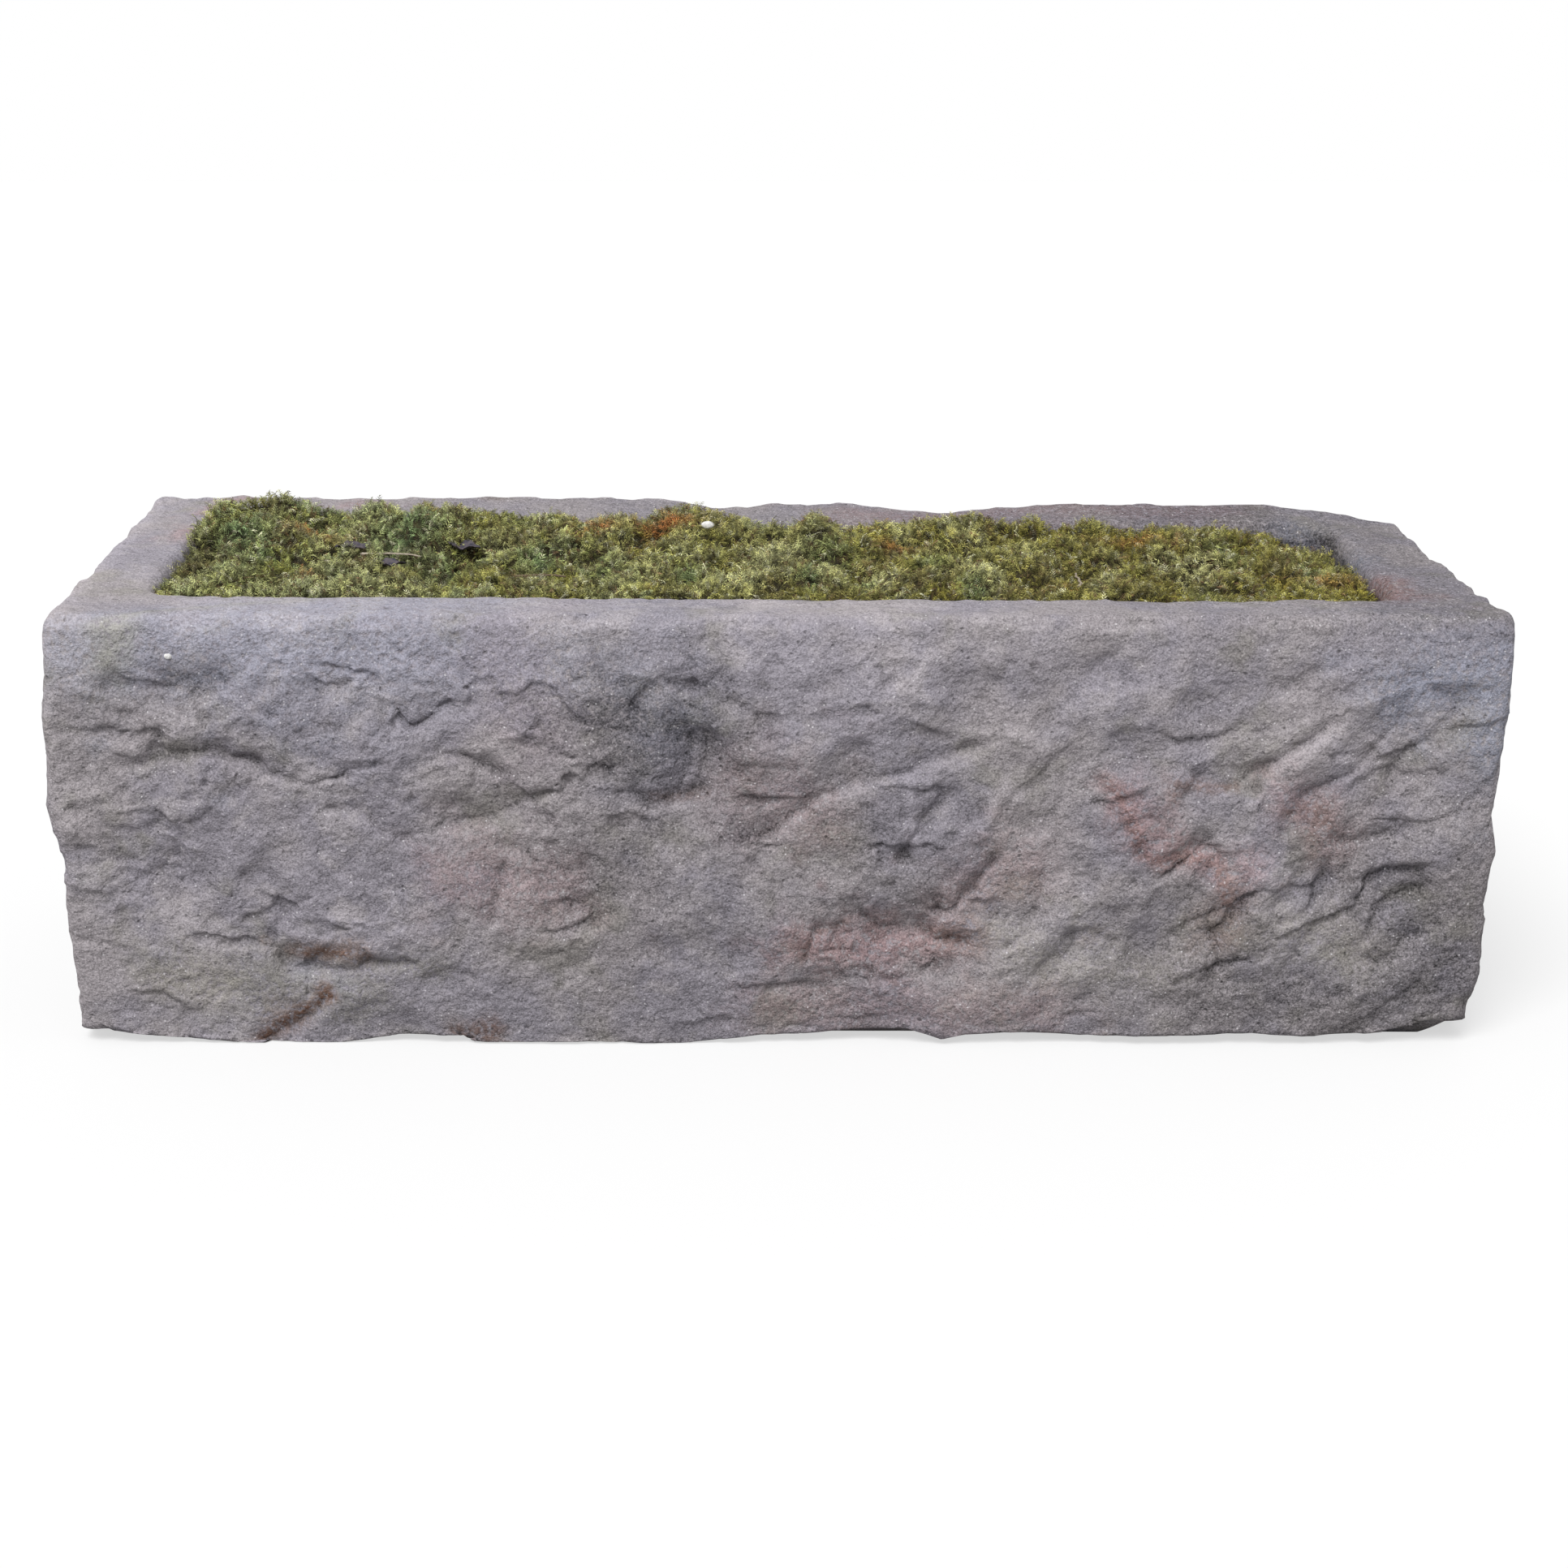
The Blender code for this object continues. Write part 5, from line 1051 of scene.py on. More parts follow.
def rim_stains(points):
    """
    Four stain strengths and a tone for the rim's top and the hollow's wall, in plan. The rim is darker at
    the left end, most along the back, and a little at the right end, where the block's own tone is dark
    already. The wall under the lip is darker than any of it, by painted shade.
    """
    along, across = (points[:, :2] / RIM_UNITS).T
    inside = smooth_step(np.maximum(np.abs(along), np.abs(across)), *RIM_EDGE_SHARES)
    on_rim = smooth_step(points[:, 2], COMPOST_TOP, COMPOST_TOP + MOSS_RISE) * inside
    at_left = smooth_step(-along, *RIM_LEFT_SHARES)
    at_back = smooth_step(across, *RIM_BACK_SHARES)
    at_right = smooth_step(along, *RIM_RIGHT_SHARES)
    dark = np.maximum(LEFT_RIM_DARK * at_left, RIGHT_RIM_DARK * at_right)
    dark = np.maximum(dark, BACK_RIM_DARK * at_back * (1 - at_left) * (1 - at_right))
    in_mouth = (np.abs(points[:, :2]) < (MOUTH_HALF_LENGTH, MOUTH_HALF_DEPTH)).all(axis=1)
    # Painted shade on the hollow's wall under the lip
    dark += WALL_PAINTED_SHADE * (1 - smooth_step(points[:, 2], FRONT_HEIGHT - LIP_RADIUS, FRONT_HEIGHT)) * in_mouth
    uneven = unevenness(points, *RIM_STAIN_WANDER)
    return strongest_stains(along, across, RIM_UNITS, RIM_STAIN_SHARES, uneven, on_rim), -dark * on_rim


def hollowness(relief, spacing):
    """How far each place of a grid lies below the mean of the places within the hollow reach of it."""
    moves = max(round(HOLLOW_REACH / spacing / 2), 1) * np.arange(-2, 3)
    return np.mean([np.roll(relief, (i, j), axis=(0, 1)) for i in moves for j in moves], axis=0) - relief


def wear_hollow(plain, outward):
    """
    The hollow's plain rows, lifted with the rim and roughened: straight up on top of the lip, and across
    the wall below it, by the stone's grain and a slow noise. The floor and the drain hole stay plain.
    """
    on_top = smooth_step(plain[:, 2], FRONT_HEIGHT - LIP_RADIUS, FRONT_HEIGHT)[:, None]
    lift = rim_lift(plain, COMPOST_TOP + 2 * LIP_RADIUS)
    lift += on_top[:, 0] * (WEAR_DEPTH * soft_noise(plain, WEAR_SIZE, 13) + grain_relief(plain))
    rough = grain_relief(plain) + WEAR_DEPTH * soft_noise(plain, CHIP_SIZE / 2, 71)
    on_wall = (plain[:, 2] > COMPOST_TOP - LIP_RADIUS)[:, None]
    hollow = plain - outward * rough[:, None] * (1 - on_top) * on_wall
    hollow[:, 2] += lift
    return hollow


def make_trough(material):
    """
    The trough as one closed grid: each column runs from the drain hole out under the base, up the side, in
    over the rim, down the hollow and back down the drain hole, and the columns go round the plan. The top
    of the rim is drawn out evenly to meet the hollow's lip. Gives the points of its front half.
    """
    coarser = 1
    spacing = ROW_SPACING * coarser
    edge = side_stations([each * coarser for each in SIDE_SPACINGS])
    columns = len(edge)
    outside = outer_rows(edge, spacing)
    inside = inner_rows(edge, spacing)
    plain = np.concatenate(outside + inside[:1])
    stone, relief = weather(plain)
    stains, tone = front_stains(plain, girth_place(plain[:, 0], plain[:, 1]))
    stains_above, tone_above = rim_stains(plain)
    rows = stone[:-columns].reshape(len(outside), columns, 3)
    rim_rows = math.ceil(WALL_THICKNESS / spacing - 0.5)
    share = np.arange(rim_rows)[:, None, None] / rim_rows
    rows[-rim_rows:, :, :2] += share * (inside[0][:, :2] - stone[-columns:, :2])
    outward = mouth_outline(edge, -1.0) - mouth_outline(edge, 0.0)
    outward = np.tile(np.column_stack((outward, np.zeros(columns))), (len(inside), 1))
    inside = np.concatenate(inside)
    hollow_stains, hollow_tone = rim_stains(inside)
    points = np.concatenate((rows.reshape(-1, 3), wear_hollow(inside, outward)))
    mesh = mesh_from("weathered_trough", points, ring_faces(len(points) // columns, columns))
    # How far each place lies below its neighbours, kept for dirt and painted shade in the hollows and painted
    # light on the proud ridges
    hollow_dirt_and_shade = hollowness(relief[:-columns].reshape(len(outside), columns), spacing).ravel() / SCAR_DEPTH
    keep_values(mesh, "hollow_dirt_and_shade", np.concatenate((hollow_dirt_and_shade, np.zeros(len(inside)))))
    # The hollow's tone carries the painted shade on its wall
    tone = np.concatenate(((tone + tone_above)[:-columns], hollow_tone + block_tone(inside)))
    keep_values(mesh, "tone", tone)
    keep_values(mesh, "stains", np.concatenate((np.maximum(stains, stains_above)[:-columns], hollow_stains)))
    trough = piece_from("weathered_trough", mesh, material, ["stone_trough"])
    thinned = trough.modifiers.new("thinned", "DECIMATE")
    thinned.ratio = STONE_KEPT_SHARE
    return stone[stone[:, 1] < 0]


# The moss

def compost_height(x, y):
    """The height of the compost, a plane that leans up to the left end and to the back."""
    return COMPOST_TOP - COMPOST_LEAN * x / MOUTH_HALF_LENGTH + COMPOST_BACK_RISE * y / MOUTH_HALF_DEPTH


def moss_middles():
    """The middle of each cushion on the bed, and the height of its crown."""
    shares = np.array(MOSS_SHARES)
    middles = shares[:, :2] * np.array((BED_HALF_LENGTH, BED_HALF_DEPTH))
    return middles, FRONT_HEIGHT + shares[:, 2] * MOSS_RISE


def wall_distance(x, y, spill):
    """How far a point is inside the bed's rounded outline, which is first let out by the spill."""
    half = np.array((BED_HALF_LENGTH, BED_HALF_DEPTH)) + spill
    beyond = np.abs(np.stack((x, y), axis=-1)) - half + CAVITY_CORNER_RADIUS
    outside = np.linalg.norm(np.maximum(beyond, 0), axis=-1)
    return CAVITY_CORNER_RADIUS - outside - np.minimum(beyond.max(axis=-1), 0)


def fold_distance(x, y, number, middles):
    """How far a point is inside the nearest of the folds half way to its cushion's neighbours."""
    nearest = np.full(np.shape(x), np.inf)
    here = middles[number]
    for there in np.delete(middles, number, axis=0):
        normal = unit_vectors(there - here)
        middle = (here + there) / 2
        nearest = np.minimum(nearest, (middle[0] - x) * normal[0] + (middle[1] - y) * normal[1])
    return nearest


def crown_height(x, y, middles, crowns):
    """The crowns' heights blended: each cushion counts by exp(-(distance to its middle / spread)^2)."""
    weight = fading(np.hypot(x[:, None] - middles[:, 0], y[:, None] - middles[:, 1]), CROWN_SPREAD)
    return (weight * crowns).sum(axis=1) / weight.sum(axis=1)


def small_tufts(x, y):
    """How far each place is up a small tuft: (|noise| / level)^power, with narrow creases between them."""
    noise = soft_noise(np.stack((x, y, 0 * x), axis=1), TUFT_SIZE, 19)
    return (np.abs(noise) / TUFT_LEVEL) ** TUFT_POWER


def spot(x, y, along, across, half_width, depth_share):
    """How near each place is to a spot's middle on the bed: exp(-(distance / half width)^2), an oval."""
    away = np.hypot(x - along * BED_HALF_LENGTH, (y - across * BED_HALF_DEPTH) * depth_share)
    return fading(away, half_width * BED_HALF_DEPTH)


def tufts_at(x, y):
    """
    Four tuft strengths for each place, of the strongest tuft of each kind. The creases between the small
    tufts are dark with painted shade, and their tops a little pale with painted highlight, most at the left.
    The left end is greener throughout, and the right end more golden.
    """
    strengths = np.zeros((len(x), 4))
    small = small_tufts(x, y)
    at_left = smooth_step(-x, 0, BED_HALF_LENGTH)
    at_right = smooth_step(x, -BED_HALF_LENGTH / 3, BED_HALF_LENGTH / 2)
    pale_share = 1 + LEFT_PALE_GAIN * at_left - RIGHT_PALE_LOSS * at_right
    strengths[:, DARK] = CREASE_PAINTED_SHADE * (1 - smooth_step(small, *TUFT_CREASES))
    strengths[:, PALE] = TUFT_TOP_PAINTED_LIGHT * smooth_step(small, *TUFT_TOPS) * pale_share
    strengths[:, GREEN] = LEFT_GREEN * at_left
    strengths[:, GOLD] = RIGHT_GOLD * at_right
    for kind, strength, half_width, along, across in TUFT_SHARES:
        fade = strength * spot(x, y, along, across, half_width, TUFT_DEPTH_SHARE)
        strengths[:, kind] = np.maximum(strengths[:, kind], fade)
    return strengths


def moss_top(x, y, number, middles, crowns):
    """
    The height that the fronds of a cushion reach: from its side share up to the crown, by 1 - (1 - d)^2
    with d the share of the shoulder's width from the nearest fold, or of the wall's shoulder from the wall,
    with soft lumps, the small tufts with creases between them, the dark gaps that the table gives, and the
    trim.
    """
    base = compost_height(x, y)
    fold = np.clip(fold_distance(x, y, number, middles) / MOSS_SHOULDER, 0, 1)
    wall = np.clip(wall_distance(x, y, MOSS_SPILL) / WALL_SHOULDER, 0, 1)
    dome = FOLD_SHARE + (1 - FOLD_SHARE) * (1 - (1 - fold) ** 2)
    dome *= WALL_SHARE + (1 - WALL_SHARE) * (1 - (1 - wall) ** 2)
    crown = crown_height(x, y, middles, crowns)
    lumps = MOSS_LUMP * soft_noise(np.stack((x, y, crown), axis=1), MOSS_LUMP_SIZE, 17)
    lumps *= np.minimum(fold, wall)
    lumps += TUFT_LUMP * (small_tufts(x, y) - TUFT_MEAN) * (TUFT_WALL_SHARE + (1 - TUFT_WALL_SHARE) * wall)
    tufts = tufts_at(x, y)
    lumps += TUFT_RISE * tufts[:, PALE]
    lumps -= TUFT_SINK * np.maximum(tufts[:, DARK] - CREASE_PAINTED_SHADE / 2, 0)
    at_back = smooth_step(y, 0, BED_HALF_DEPTH * TRIM_DEPTH_SHARE)
    lumps += from_table(x / BED_HALF_LENGTH, SKYLINE_TRIM_SHARES) * MOSS_RISE * at_back
    return base + (crown - base) * dome + lumps


def cushion_reach(angles, number, middles):
    """How far a cushion reaches from its middle at each angle, by halving the way to its side 24 times."""
    low = np.zeros(len(angles))
    high = np.full(len(angles), 2 * BED_HALF_LENGTH)
    for _ in range(24):
        middle = (low + high) / 2
        x = middles[number, 0] + middle * np.cos(angles)
        y = middles[number, 1] + middle * np.sin(angles)
        inside = np.minimum(fold_distance(x, y, number, middles), wall_distance(x, y, 0.0)) > 0
        low = np.where(inside, middle, low)
        high = np.where(inside, high, middle)
    return low


def cushion_mat(number, middles, crowns):
    """
    The dark old growth under a cushion's shoots, closed: rings round its middle out to its side, a little
    under the shoots' tips, and the same outline down on the compost.
    """
    angles = np.arange(MAT_ANGLES) * 2 * math.pi / MAT_ANGLES
    reach = cushion_reach(angles, number, middles)
    shares = np.linspace(0, 1, MAT_RINGS + 1)[1:, None]
    here = middles[number]
    x = here[0] + shares * reach * np.cos(angles)
    y = here[1] + shares * reach * np.sin(angles)
    floor = compost_height(x, y) + SEAT_GAP
    top = moss_top(x.ravel(), y.ravel(), number, middles, crowns).reshape(x.shape) - MAT_DEPTH
    rings = np.stack((x, y, np.maximum(top, floor + MAT_DEPTH / 4)), axis=-1)
    foot_ring = np.stack((x[-1:], y[-1:], floor[-1:]), axis=-1)
    crown = np.array((*here, moss_top(here[:1], here[1:], number, middles, crowns)[0] - MAT_DEPTH))
    foot = np.array((*here, compost_height(*here) + SEAT_GAP))
    return closed_rings(crown, np.concatenate((rings, foot_ring)), foot)


def frond_shape():
    """
    One feathery frond of length 1 along +Z: a three-sided stem that narrows to a point, and pairs of leafy
    branches along both its sides, each a thin spike of four faces swept forward. The branch at share s of
    the way up has its root at height 0.18 + 0.74 s, and 0.75 + s - 1.35 s^2 of the full reach.
    """
    turns = np.arange(3) * 2 * math.pi / 3
    foot = np.stack((np.cos(turns), -np.sin(turns), 0 * turns), axis=1) * FROND_STEM_SHARE
    points, faces = closed_rings(np.zeros(3), foot[None], np.array((0.0, 0.0, 1.0)))
    number = np.arange(2 * FROND_PAIRS)
    share = number / (2 * FROND_PAIRS - 1)
    side = np.where(number % 2 == 0, 1.0, -1.0)
    flat = np.zeros(len(number))
    root = np.stack((flat, flat, 0.18 + 0.74 * share), axis=1)
    reach = BRANCH_REACH_SHARE * (0.75 + 1.0 * share - 1.35 * share ** 2)
    tip = root + np.stack((0.15 * np.cos(number * 2.0), 0.75 * side, flat + 0.62), axis=1) * reach[:, None]
    width = BRANCH_WIDTH_SHARE
    branches = np.stack((root + (0, 0, -width), root + (0, 0, width), root + (-width, 0, 0), tip), axis=1)
    right = np.array(((0, 1, 3), (1, 2, 3), (2, 0, 3), (0, 2, 1)))
    spikes = np.where(side[:, None, None] > 0, right, right[:, ::-1])
    spikes = spikes + 4 * number[:, None, None] + len(points)
    return np.concatenate((points, branches.reshape(-1, 3))), np.concatenate((faces, spikes.reshape(-1, 3)))


def scatter(number, middles, spacing):
    """Places for a cushion's shoots: a square grid, each point moved by draws of the cushion's own seed."""
    reach = cushion_reach(np.linspace(0, 2 * math.pi, 64), number, middles).max() + MOSS_SPILL
    side = np.arange(-reach, reach, spacing)
    x, y = np.meshgrid(side, side)
    draw = np.random.default_rng(100 + number)
    x = x.ravel() + middles[number, 0] + draw.uniform(-0.5, 0.5, x.size) * spacing
    y = y.ravel() + middles[number, 1] + draw.uniform(-0.5, 0.5, y.size) * spacing
    inside = (fold_distance(x, y, number, middles) > 0) & (wall_distance(x, y, MOSS_SPILL) > 0)
    return x[inside], y[inside], draw


def rust_patches(x, y):
    """How rusty the moss is at each place, by the nearest of the rusty patches."""
    return np.max([strength * spot(x, y, along, across, half_width, RUST_DEPTH_SHARE)
                   for along, across, half_width, strength in RUST_PATCH_SHARES], axis=0)


def cushion_fronds(number, middles, crowns, spacing):
    """
    A cushion's fronds, each a copy of the one shape bent along an arc: with k the angle that its tip has
    turned through, the stem at height z lies at ((1 - cos kz) / k, sin kz / k), and what stands out from it
    turns with it. It rises across the slope of the moss, leans with its neighbours by a slow noise and by a
    draw of its own, and its highest part reaches the top of the moss. Each point keeps how far up and out
    on the frond it lies, two draws that its frond shares, how rusty its place is, and the tufts there.
    """
    x, y, draw = scatter(number, middles, spacing)
    count = len(x)
    top = moss_top(x, y, number, middles, crowns)
    slope_x = (moss_top(x + spacing, y, number, middles, crowns) - top) / spacing
    slope_y = (moss_top(x, y + spacing, number, middles, crowns) - top) / spacing
    slope = np.clip(np.stack((slope_x, slope_y), axis=1), -1, 1)
    tip = np.stack((x, y, top), axis=1)
    shared = np.stack((soft_noise(tip, LEAN_SIZE, 81), soft_noise(tip, LEAN_SIZE, 83)), axis=1)
    lean = SHARED_LEAN * shared + draw.normal(0, OWN_LEAN, (count, 2)) - SLOPE_LEAN * slope
    up = unit_vectors(np.column_stack((lean, np.ones(count))))
    turn = draw.uniform(0, 2 * math.pi, count)
    side = np.column_stack((np.cos(turn), np.sin(turn), np.zeros(count)))
    side = unit_vectors(side - up * (side * up).sum(axis=1, keepdims=True))
    across = np.cross(up, side)
    length = SHOOT_LENGTH * draw.uniform(*SHOOT_LENGTH_SHARES, count)[:, None, None]
    bend = draw.uniform(*SHOOT_BENDS, count)[:, None]
    shape, shape_faces = frond_shape()
    angle = bend * shape[:, 2]
    out = (1 - np.cos(angle)) / bend + shape[:, 0] * np.cos(angle)
    rise = np.sin(angle) / bend - shape[:, 0] * np.sin(angle)
    highest = np.sin(np.minimum(bend, math.pi / 2)) / bend
    tip[:, 2] += draw.normal(0, TIP_SCATTER_SHARE, count) * SHOOT_LENGTH
    points = tip[:, None] + length * (out[..., None] * side[:, None] + shape[:, 1, None] * across[:, None]
                                      + (rise - highest)[..., None] * up[:, None])
    faces = shape_faces + np.arange(count)[:, None, None] * len(shape)
    along = np.clip(shape[:, 2] * 0.7 + np.abs(shape[:, 1]) / BRANCH_REACH_SHARE * 0.6, 0, 1)
    own = draw.uniform(0, 1, (2, count, 1))
    look = np.stack(np.broadcast_arrays(along[None], *own, rust_patches(x, y)[:, None]), axis=-1)
    tufts = np.repeat(tufts_at(x, y), len(shape), axis=0)
    return points.reshape(-1, 3), faces.reshape(-1, 3), look.reshape(-1, 4), tufts


def make_moss(material):
    """The cushions, each one piece: its dark mat and the shoots that stand on it."""
    middles, crowns = moss_middles()
    spacing = SHOOT_SPACING * 1
    for number in range(len(middles)):
        mat, mat_faces = cushion_mat(number, middles, crowns)
        fronds, frond_faces, look, tufts = cushion_fronds(number, middles, crowns, spacing)
        name = "moss_shoots_%02d" % (number + 1)
        faces = np.concatenate((mat_faces, frond_faces + len(mat)))
        mesh = mesh_from(name, np.concatenate((mat, fronds)), faces)
        for label, values in (("shoot", look), ("tufts", tufts)):
            keep_values(mesh, label, np.concatenate((np.zeros((len(mat), 4)), values)))
        piece_from(name, mesh, material, ["moss_cushion_%02d" % (number + 1)], smooth=False)


# What lies on the moss

def lay_litter(name, node, points, faces, material, slot, along, across, turn):
    """
    A piece of litter: its points turned about the upright and moved to their place on the bed, as low as
    the node that it stands for.
    """
    angle = math.radians(turn)
    turned = points @ np.array(((math.cos(angle), math.sin(angle), 0), (-math.sin(angle), math.cos(angle), 0),
                                (0, 0, 1)))
    turned += (along * BED_HALF_LENGTH, across * BED_HALF_DEPTH, 0)
    turned[:, 2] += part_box(node)[0][2] - turned[:, 2].min()
    return piece_from(name, mesh_from(name, turned, faces), material, [node])


def rolled_pebble(length, seed):
    """A ball of width 1 drawn into an oval of a length, its radius made uneven by soft noises."""
    polar = np.linspace(0, math.pi, PEBBLE_RINGS + 2)[1:-1, None]
    turn = np.arange(PEBBLE_RINGS * 2) * math.pi / PEBBLE_RINGS
    rings = np.stack((np.sin(polar) * np.cos(turn), np.sin(polar) * np.sin(turn),
                      np.cos(polar) + 0 * turn), axis=-1) / 2
    points, faces = closed_rings(np.array((0, 0, 0.5)), rings, np.array((0, 0, -0.5)))
    bumps = 1
    for size, rise, added in PEBBLE_BUMPS:
        bumps = bumps + rise * soft_noise(points, size, seed + added)
    return points * bumps[:, None] * length * np.array(PEBBLE_SHAPE), faces


def make_pebble(material):
    """The white pebble that lies on the moss."""
    points, faces = rolled_pebble(PEBBLE_LENGTH, 41)
    lay_litter("quartz_pebble", "white_pebble", points, faces, material, "pebble", *PEBBLE_SHARES, 0.0)


def make_fleck(material, front):
    """A white quartz pebble that is bedded in the sandstone, its middle on the nearest point of the front."""
    points, faces = rolled_pebble(FLECK_LENGTH, 141)
    away = front[:, (0, 2)] - np.array(FLECK_SHARES) * FRONT_UNITS
    nearest = front[np.linalg.norm(away, axis=1).argmin()]
    mesh = mesh_from("bedded_quartz", points[:, (0, 2, 1)] * (1, -1, 1) + nearest, faces)
    piece_from("bedded_quartz", mesh, material, [])


def make_leaves(material):
    """
    The dead leaves: flat tubes, of length 1 before they are scaled. At a place t along the leaf the half
    width is 0.06 + 0.25 cos(0.9 pi t)^0.8 with toothed sides. They are curled up along and across by
    squares of the place, creased down the midrib and rippled.
    """
    forward = np.linspace(-0.5, 0.5, LEAF_RINGS + 2)[1:-1, None]
    turn = np.arange(LEAF_AROUND) * 2 * math.pi / LEAF_AROUND
    for number, (along, across, scale, angle) in enumerate(LEAF_SHARES, 1):
        length = LEAF_LENGTH * scale
        teeth = 1 + 0.06 * np.sin(forward * 75 + number)
        sideways = (0.06 + 0.25 * np.cos(math.pi * forward * 0.9) ** 0.8) * teeth * -np.cos(turn)
        curl = 1.1 * sideways ** 2 + 0.25 * forward ** 2 + 0.05 * np.sin(7 * forward + 9 * sideways)
        curl += 0.04 * fading(sideways, 0.03) + 0.02 * np.sin(23 * forward + 17 * np.abs(sideways) + number)
        curl += LEAF_THICKNESS / length / 2 * np.sin(turn)
        rings = np.stack((forward + 0 * turn, sideways, curl), axis=-1)
        points, faces = closed_rings(np.array(LEAF_FOOT), rings, np.array(LEAF_TIP))
        lay_litter("withered_leaf_%d" % number, "dead_leaf_%d" % number, points * length, faces, material,
                   "dead_leaf", along, across, angle)


def make_stems(material):
    """
    The dry stems: ridged tubes along an arched line that bows aside by 0.04 sin 5s, with kinks of 0.012
    sin(19s + number), in lengths, s going from -0.5 to 0.5 along it. The radius falls by 0.45 of itself
    from end to end, and swells at the joints. Each keeps how bleached it is.
    """
    share = np.linspace(-0.5, 0.5, STEM_RINGS)[:, None]
    turn = np.arange(STEM_AROUND) * 2 * math.pi / STEM_AROUND
    for number, (along, across, scale, angle, bleached) in enumerate(STEM_SHARES, 1):
        length = STEM_LENGTH * scale
        joints = 0.35 * fading(np.sin(share * 11 + number), 0.15)
        ridges = 1 + 0.10 * np.sin(5 * turn) + 0.08 * np.sin(share * 90 + turn)
        radius = STEM_RADIUS * (1.0 - 0.45 * (share + 0.5) + joints) * ridges
        bow = 0.04 * np.sin(share * 5) + 0.012 * np.sin(share * 19 + number)
        middle = length * np.concatenate((share, bow, 0.10 * (0.25 - share ** 2)), axis=1)
        section = np.stack((0 * radius, -radius * np.cos(turn), radius * np.sin(turn)), axis=-1)
        rings = middle[:, None] + section
        points, faces = closed_rings(rings[0].mean(axis=0), rings, rings[-1].mean(axis=0))
        twig = lay_litter("dry_twig_%d" % number, "dry_stem_%d" % number, points, faces, material, "dry_stem",
                          along, across, angle)
        keep_values(twig.data, "bleached", np.full(len(points), bleached))


# Finishes

def add_node(tree, kind, settings=(), **sockets):
    """
    A new node: its settings, and for each socket a value or the output that feeds it. A socket goes by its
    name, with _ for a blank, or by _ and its number.
    """
    node = tree.nodes.new(kind)
    for name, value in dict(settings).items():
        setattr(node, name, value)
    for name, value in sockets.items():
        socket = node.inputs[int(name[1:])] if name[0] == "_" else node.inputs[name.replace("_", " ")]
        if isinstance(value, bpy.types.NodeSocket):
            tree.links.new(value, socket)
        else:
            socket.default_value = value
    return node


def maths(tree, operation, first, second):
    """One step of arithmetic on two numbers."""
    return add_node(tree, "ShaderNodeMath", {"operation": operation}, _0=first, _1=second).outputs[0]


def product(tree, first, second):
    """One number times another."""
    return maths(tree, "MULTIPLY", first, second)


def blended(tree, share, under, over, way="MIX"):
    """Two colours mixed by a share, which is held between 0 and 1."""
    settings = {"data_type": "RGBA", "blend_type": way, "clamp_factor": True}
    return add_node(tree, "ShaderNodeMix", settings, _0=share, _6=under, _7=over).outputs[2]


def shaded(tree, colour, shade):
    """A colour made darker or paler by a factor."""
    grey = add_node(tree, "ShaderNodeCombineColor", Red=shade, Green=shade, Blue=shade).outputs[0]
    return blended(tree, 1.0, colour, grey, "MULTIPLY")


def spread(tree, value, low, high, start=0.0, end=1.0):
    """A number carried from one range to another, smoothly, and held at both ends."""
    settings = {"interpolation_type": "SMOOTHSTEP", "clamp": True}
    return add_node(tree, "ShaderNodeMapRange", settings, Value=value, From_Min=low, From_Max=high,
                    To_Min=start, To_Max=end).outputs[0]


def new_group(name, inputs, outputs):
    """An empty shader node group with named inputs and outputs, and its two end nodes."""
    group = bpy.data.node_groups.new(name, "ShaderNodeTree")
    for label, value in inputs.items():
        kind = "NodeSocketVector" if isinstance(value, tuple) else "NodeSocketFloat"
        socket = group.interface.new_socket(label, in_out="INPUT", socket_type=kind)
        socket.default_value = value
    for label in outputs:
        group.interface.new_socket(label, in_out="OUTPUT", socket_type="NodeSocketFloat")
    return group, group.nodes.new("NodeGroupInput").outputs, group.nodes.new("NodeGroupOutput").inputs


def patches_group():
    """Soft-edged patches: noise of a size in metres, spread between two levels, from 0 to 1."""
    inputs = {"Place": (0, 0, 0), "Size": 0.1, "Low": 0.4, "High": 0.6, "Detail": 3.0}
    group, given, result = new_group("patches", inputs, ["Share"])
    noise = add_node(group, "ShaderNodeTexNoise", Vector=given["Place"], Detail=given["Detail"],
                     Roughness=0.6, Scale=maths(group, "DIVIDE", 1.0, given["Size"]))
    group.links.new(spread(group, noise.outputs[0], given["Low"], given["High"]), result["Share"])
    return group


def rare_spots(group, place, scale, near, rarity):
    """Round spots in the few cells of a random pattern whose own value is high, and 0 elsewhere."""
    cells = add_node(group, "ShaderNodeTexVoronoi", Vector=place, Scale=scale).outputs
    value = add_node(group, "ShaderNodeSeparateColor", Color=cells["Color"]).outputs[0]
    return product(group, spread(group, cells["Distance"], *near, 1.0, 0.0), spread(group, value, *rarity))


def grains_group():
    """
    Mineral grains: a share that goes from dark grains to light ones, the few that glint, the pits where a
    grain has fallen out, and the height of it all. The size is a grain's, in metres.
    """
    group, given, result = new_group("grains", {"Place": (0, 0, 0), "Size": 0.002},
                                     ["Shade", "Glint", "Pit", "Height"])
    place = given["Place"]
    scale = maths(group, "DIVIDE", 1.0, given["Size"])
    fine = add_node(group, "ShaderNodeTexNoise", Vector=place, Scale=scale, Detail=4.0,
                    Roughness=0.75).outputs[0]
    glint = rare_spots(group, place, product(group, scale, 0.55), (0.10, 0.32), (0.90, 0.93))
    pit = rare_spots(group, place, product(group, scale, 0.30), (0.10, 0.35), (0.78, 0.84))
    height = maths(group, "SUBTRACT", fine, pit)
    for label, output in (("Shade", fine), ("Glint", glint), ("Pit", pit), ("Height", height)):
        group.links.new(output, result[label])
    return group


PATCHES = patches_group()
GRAINS = grains_group()


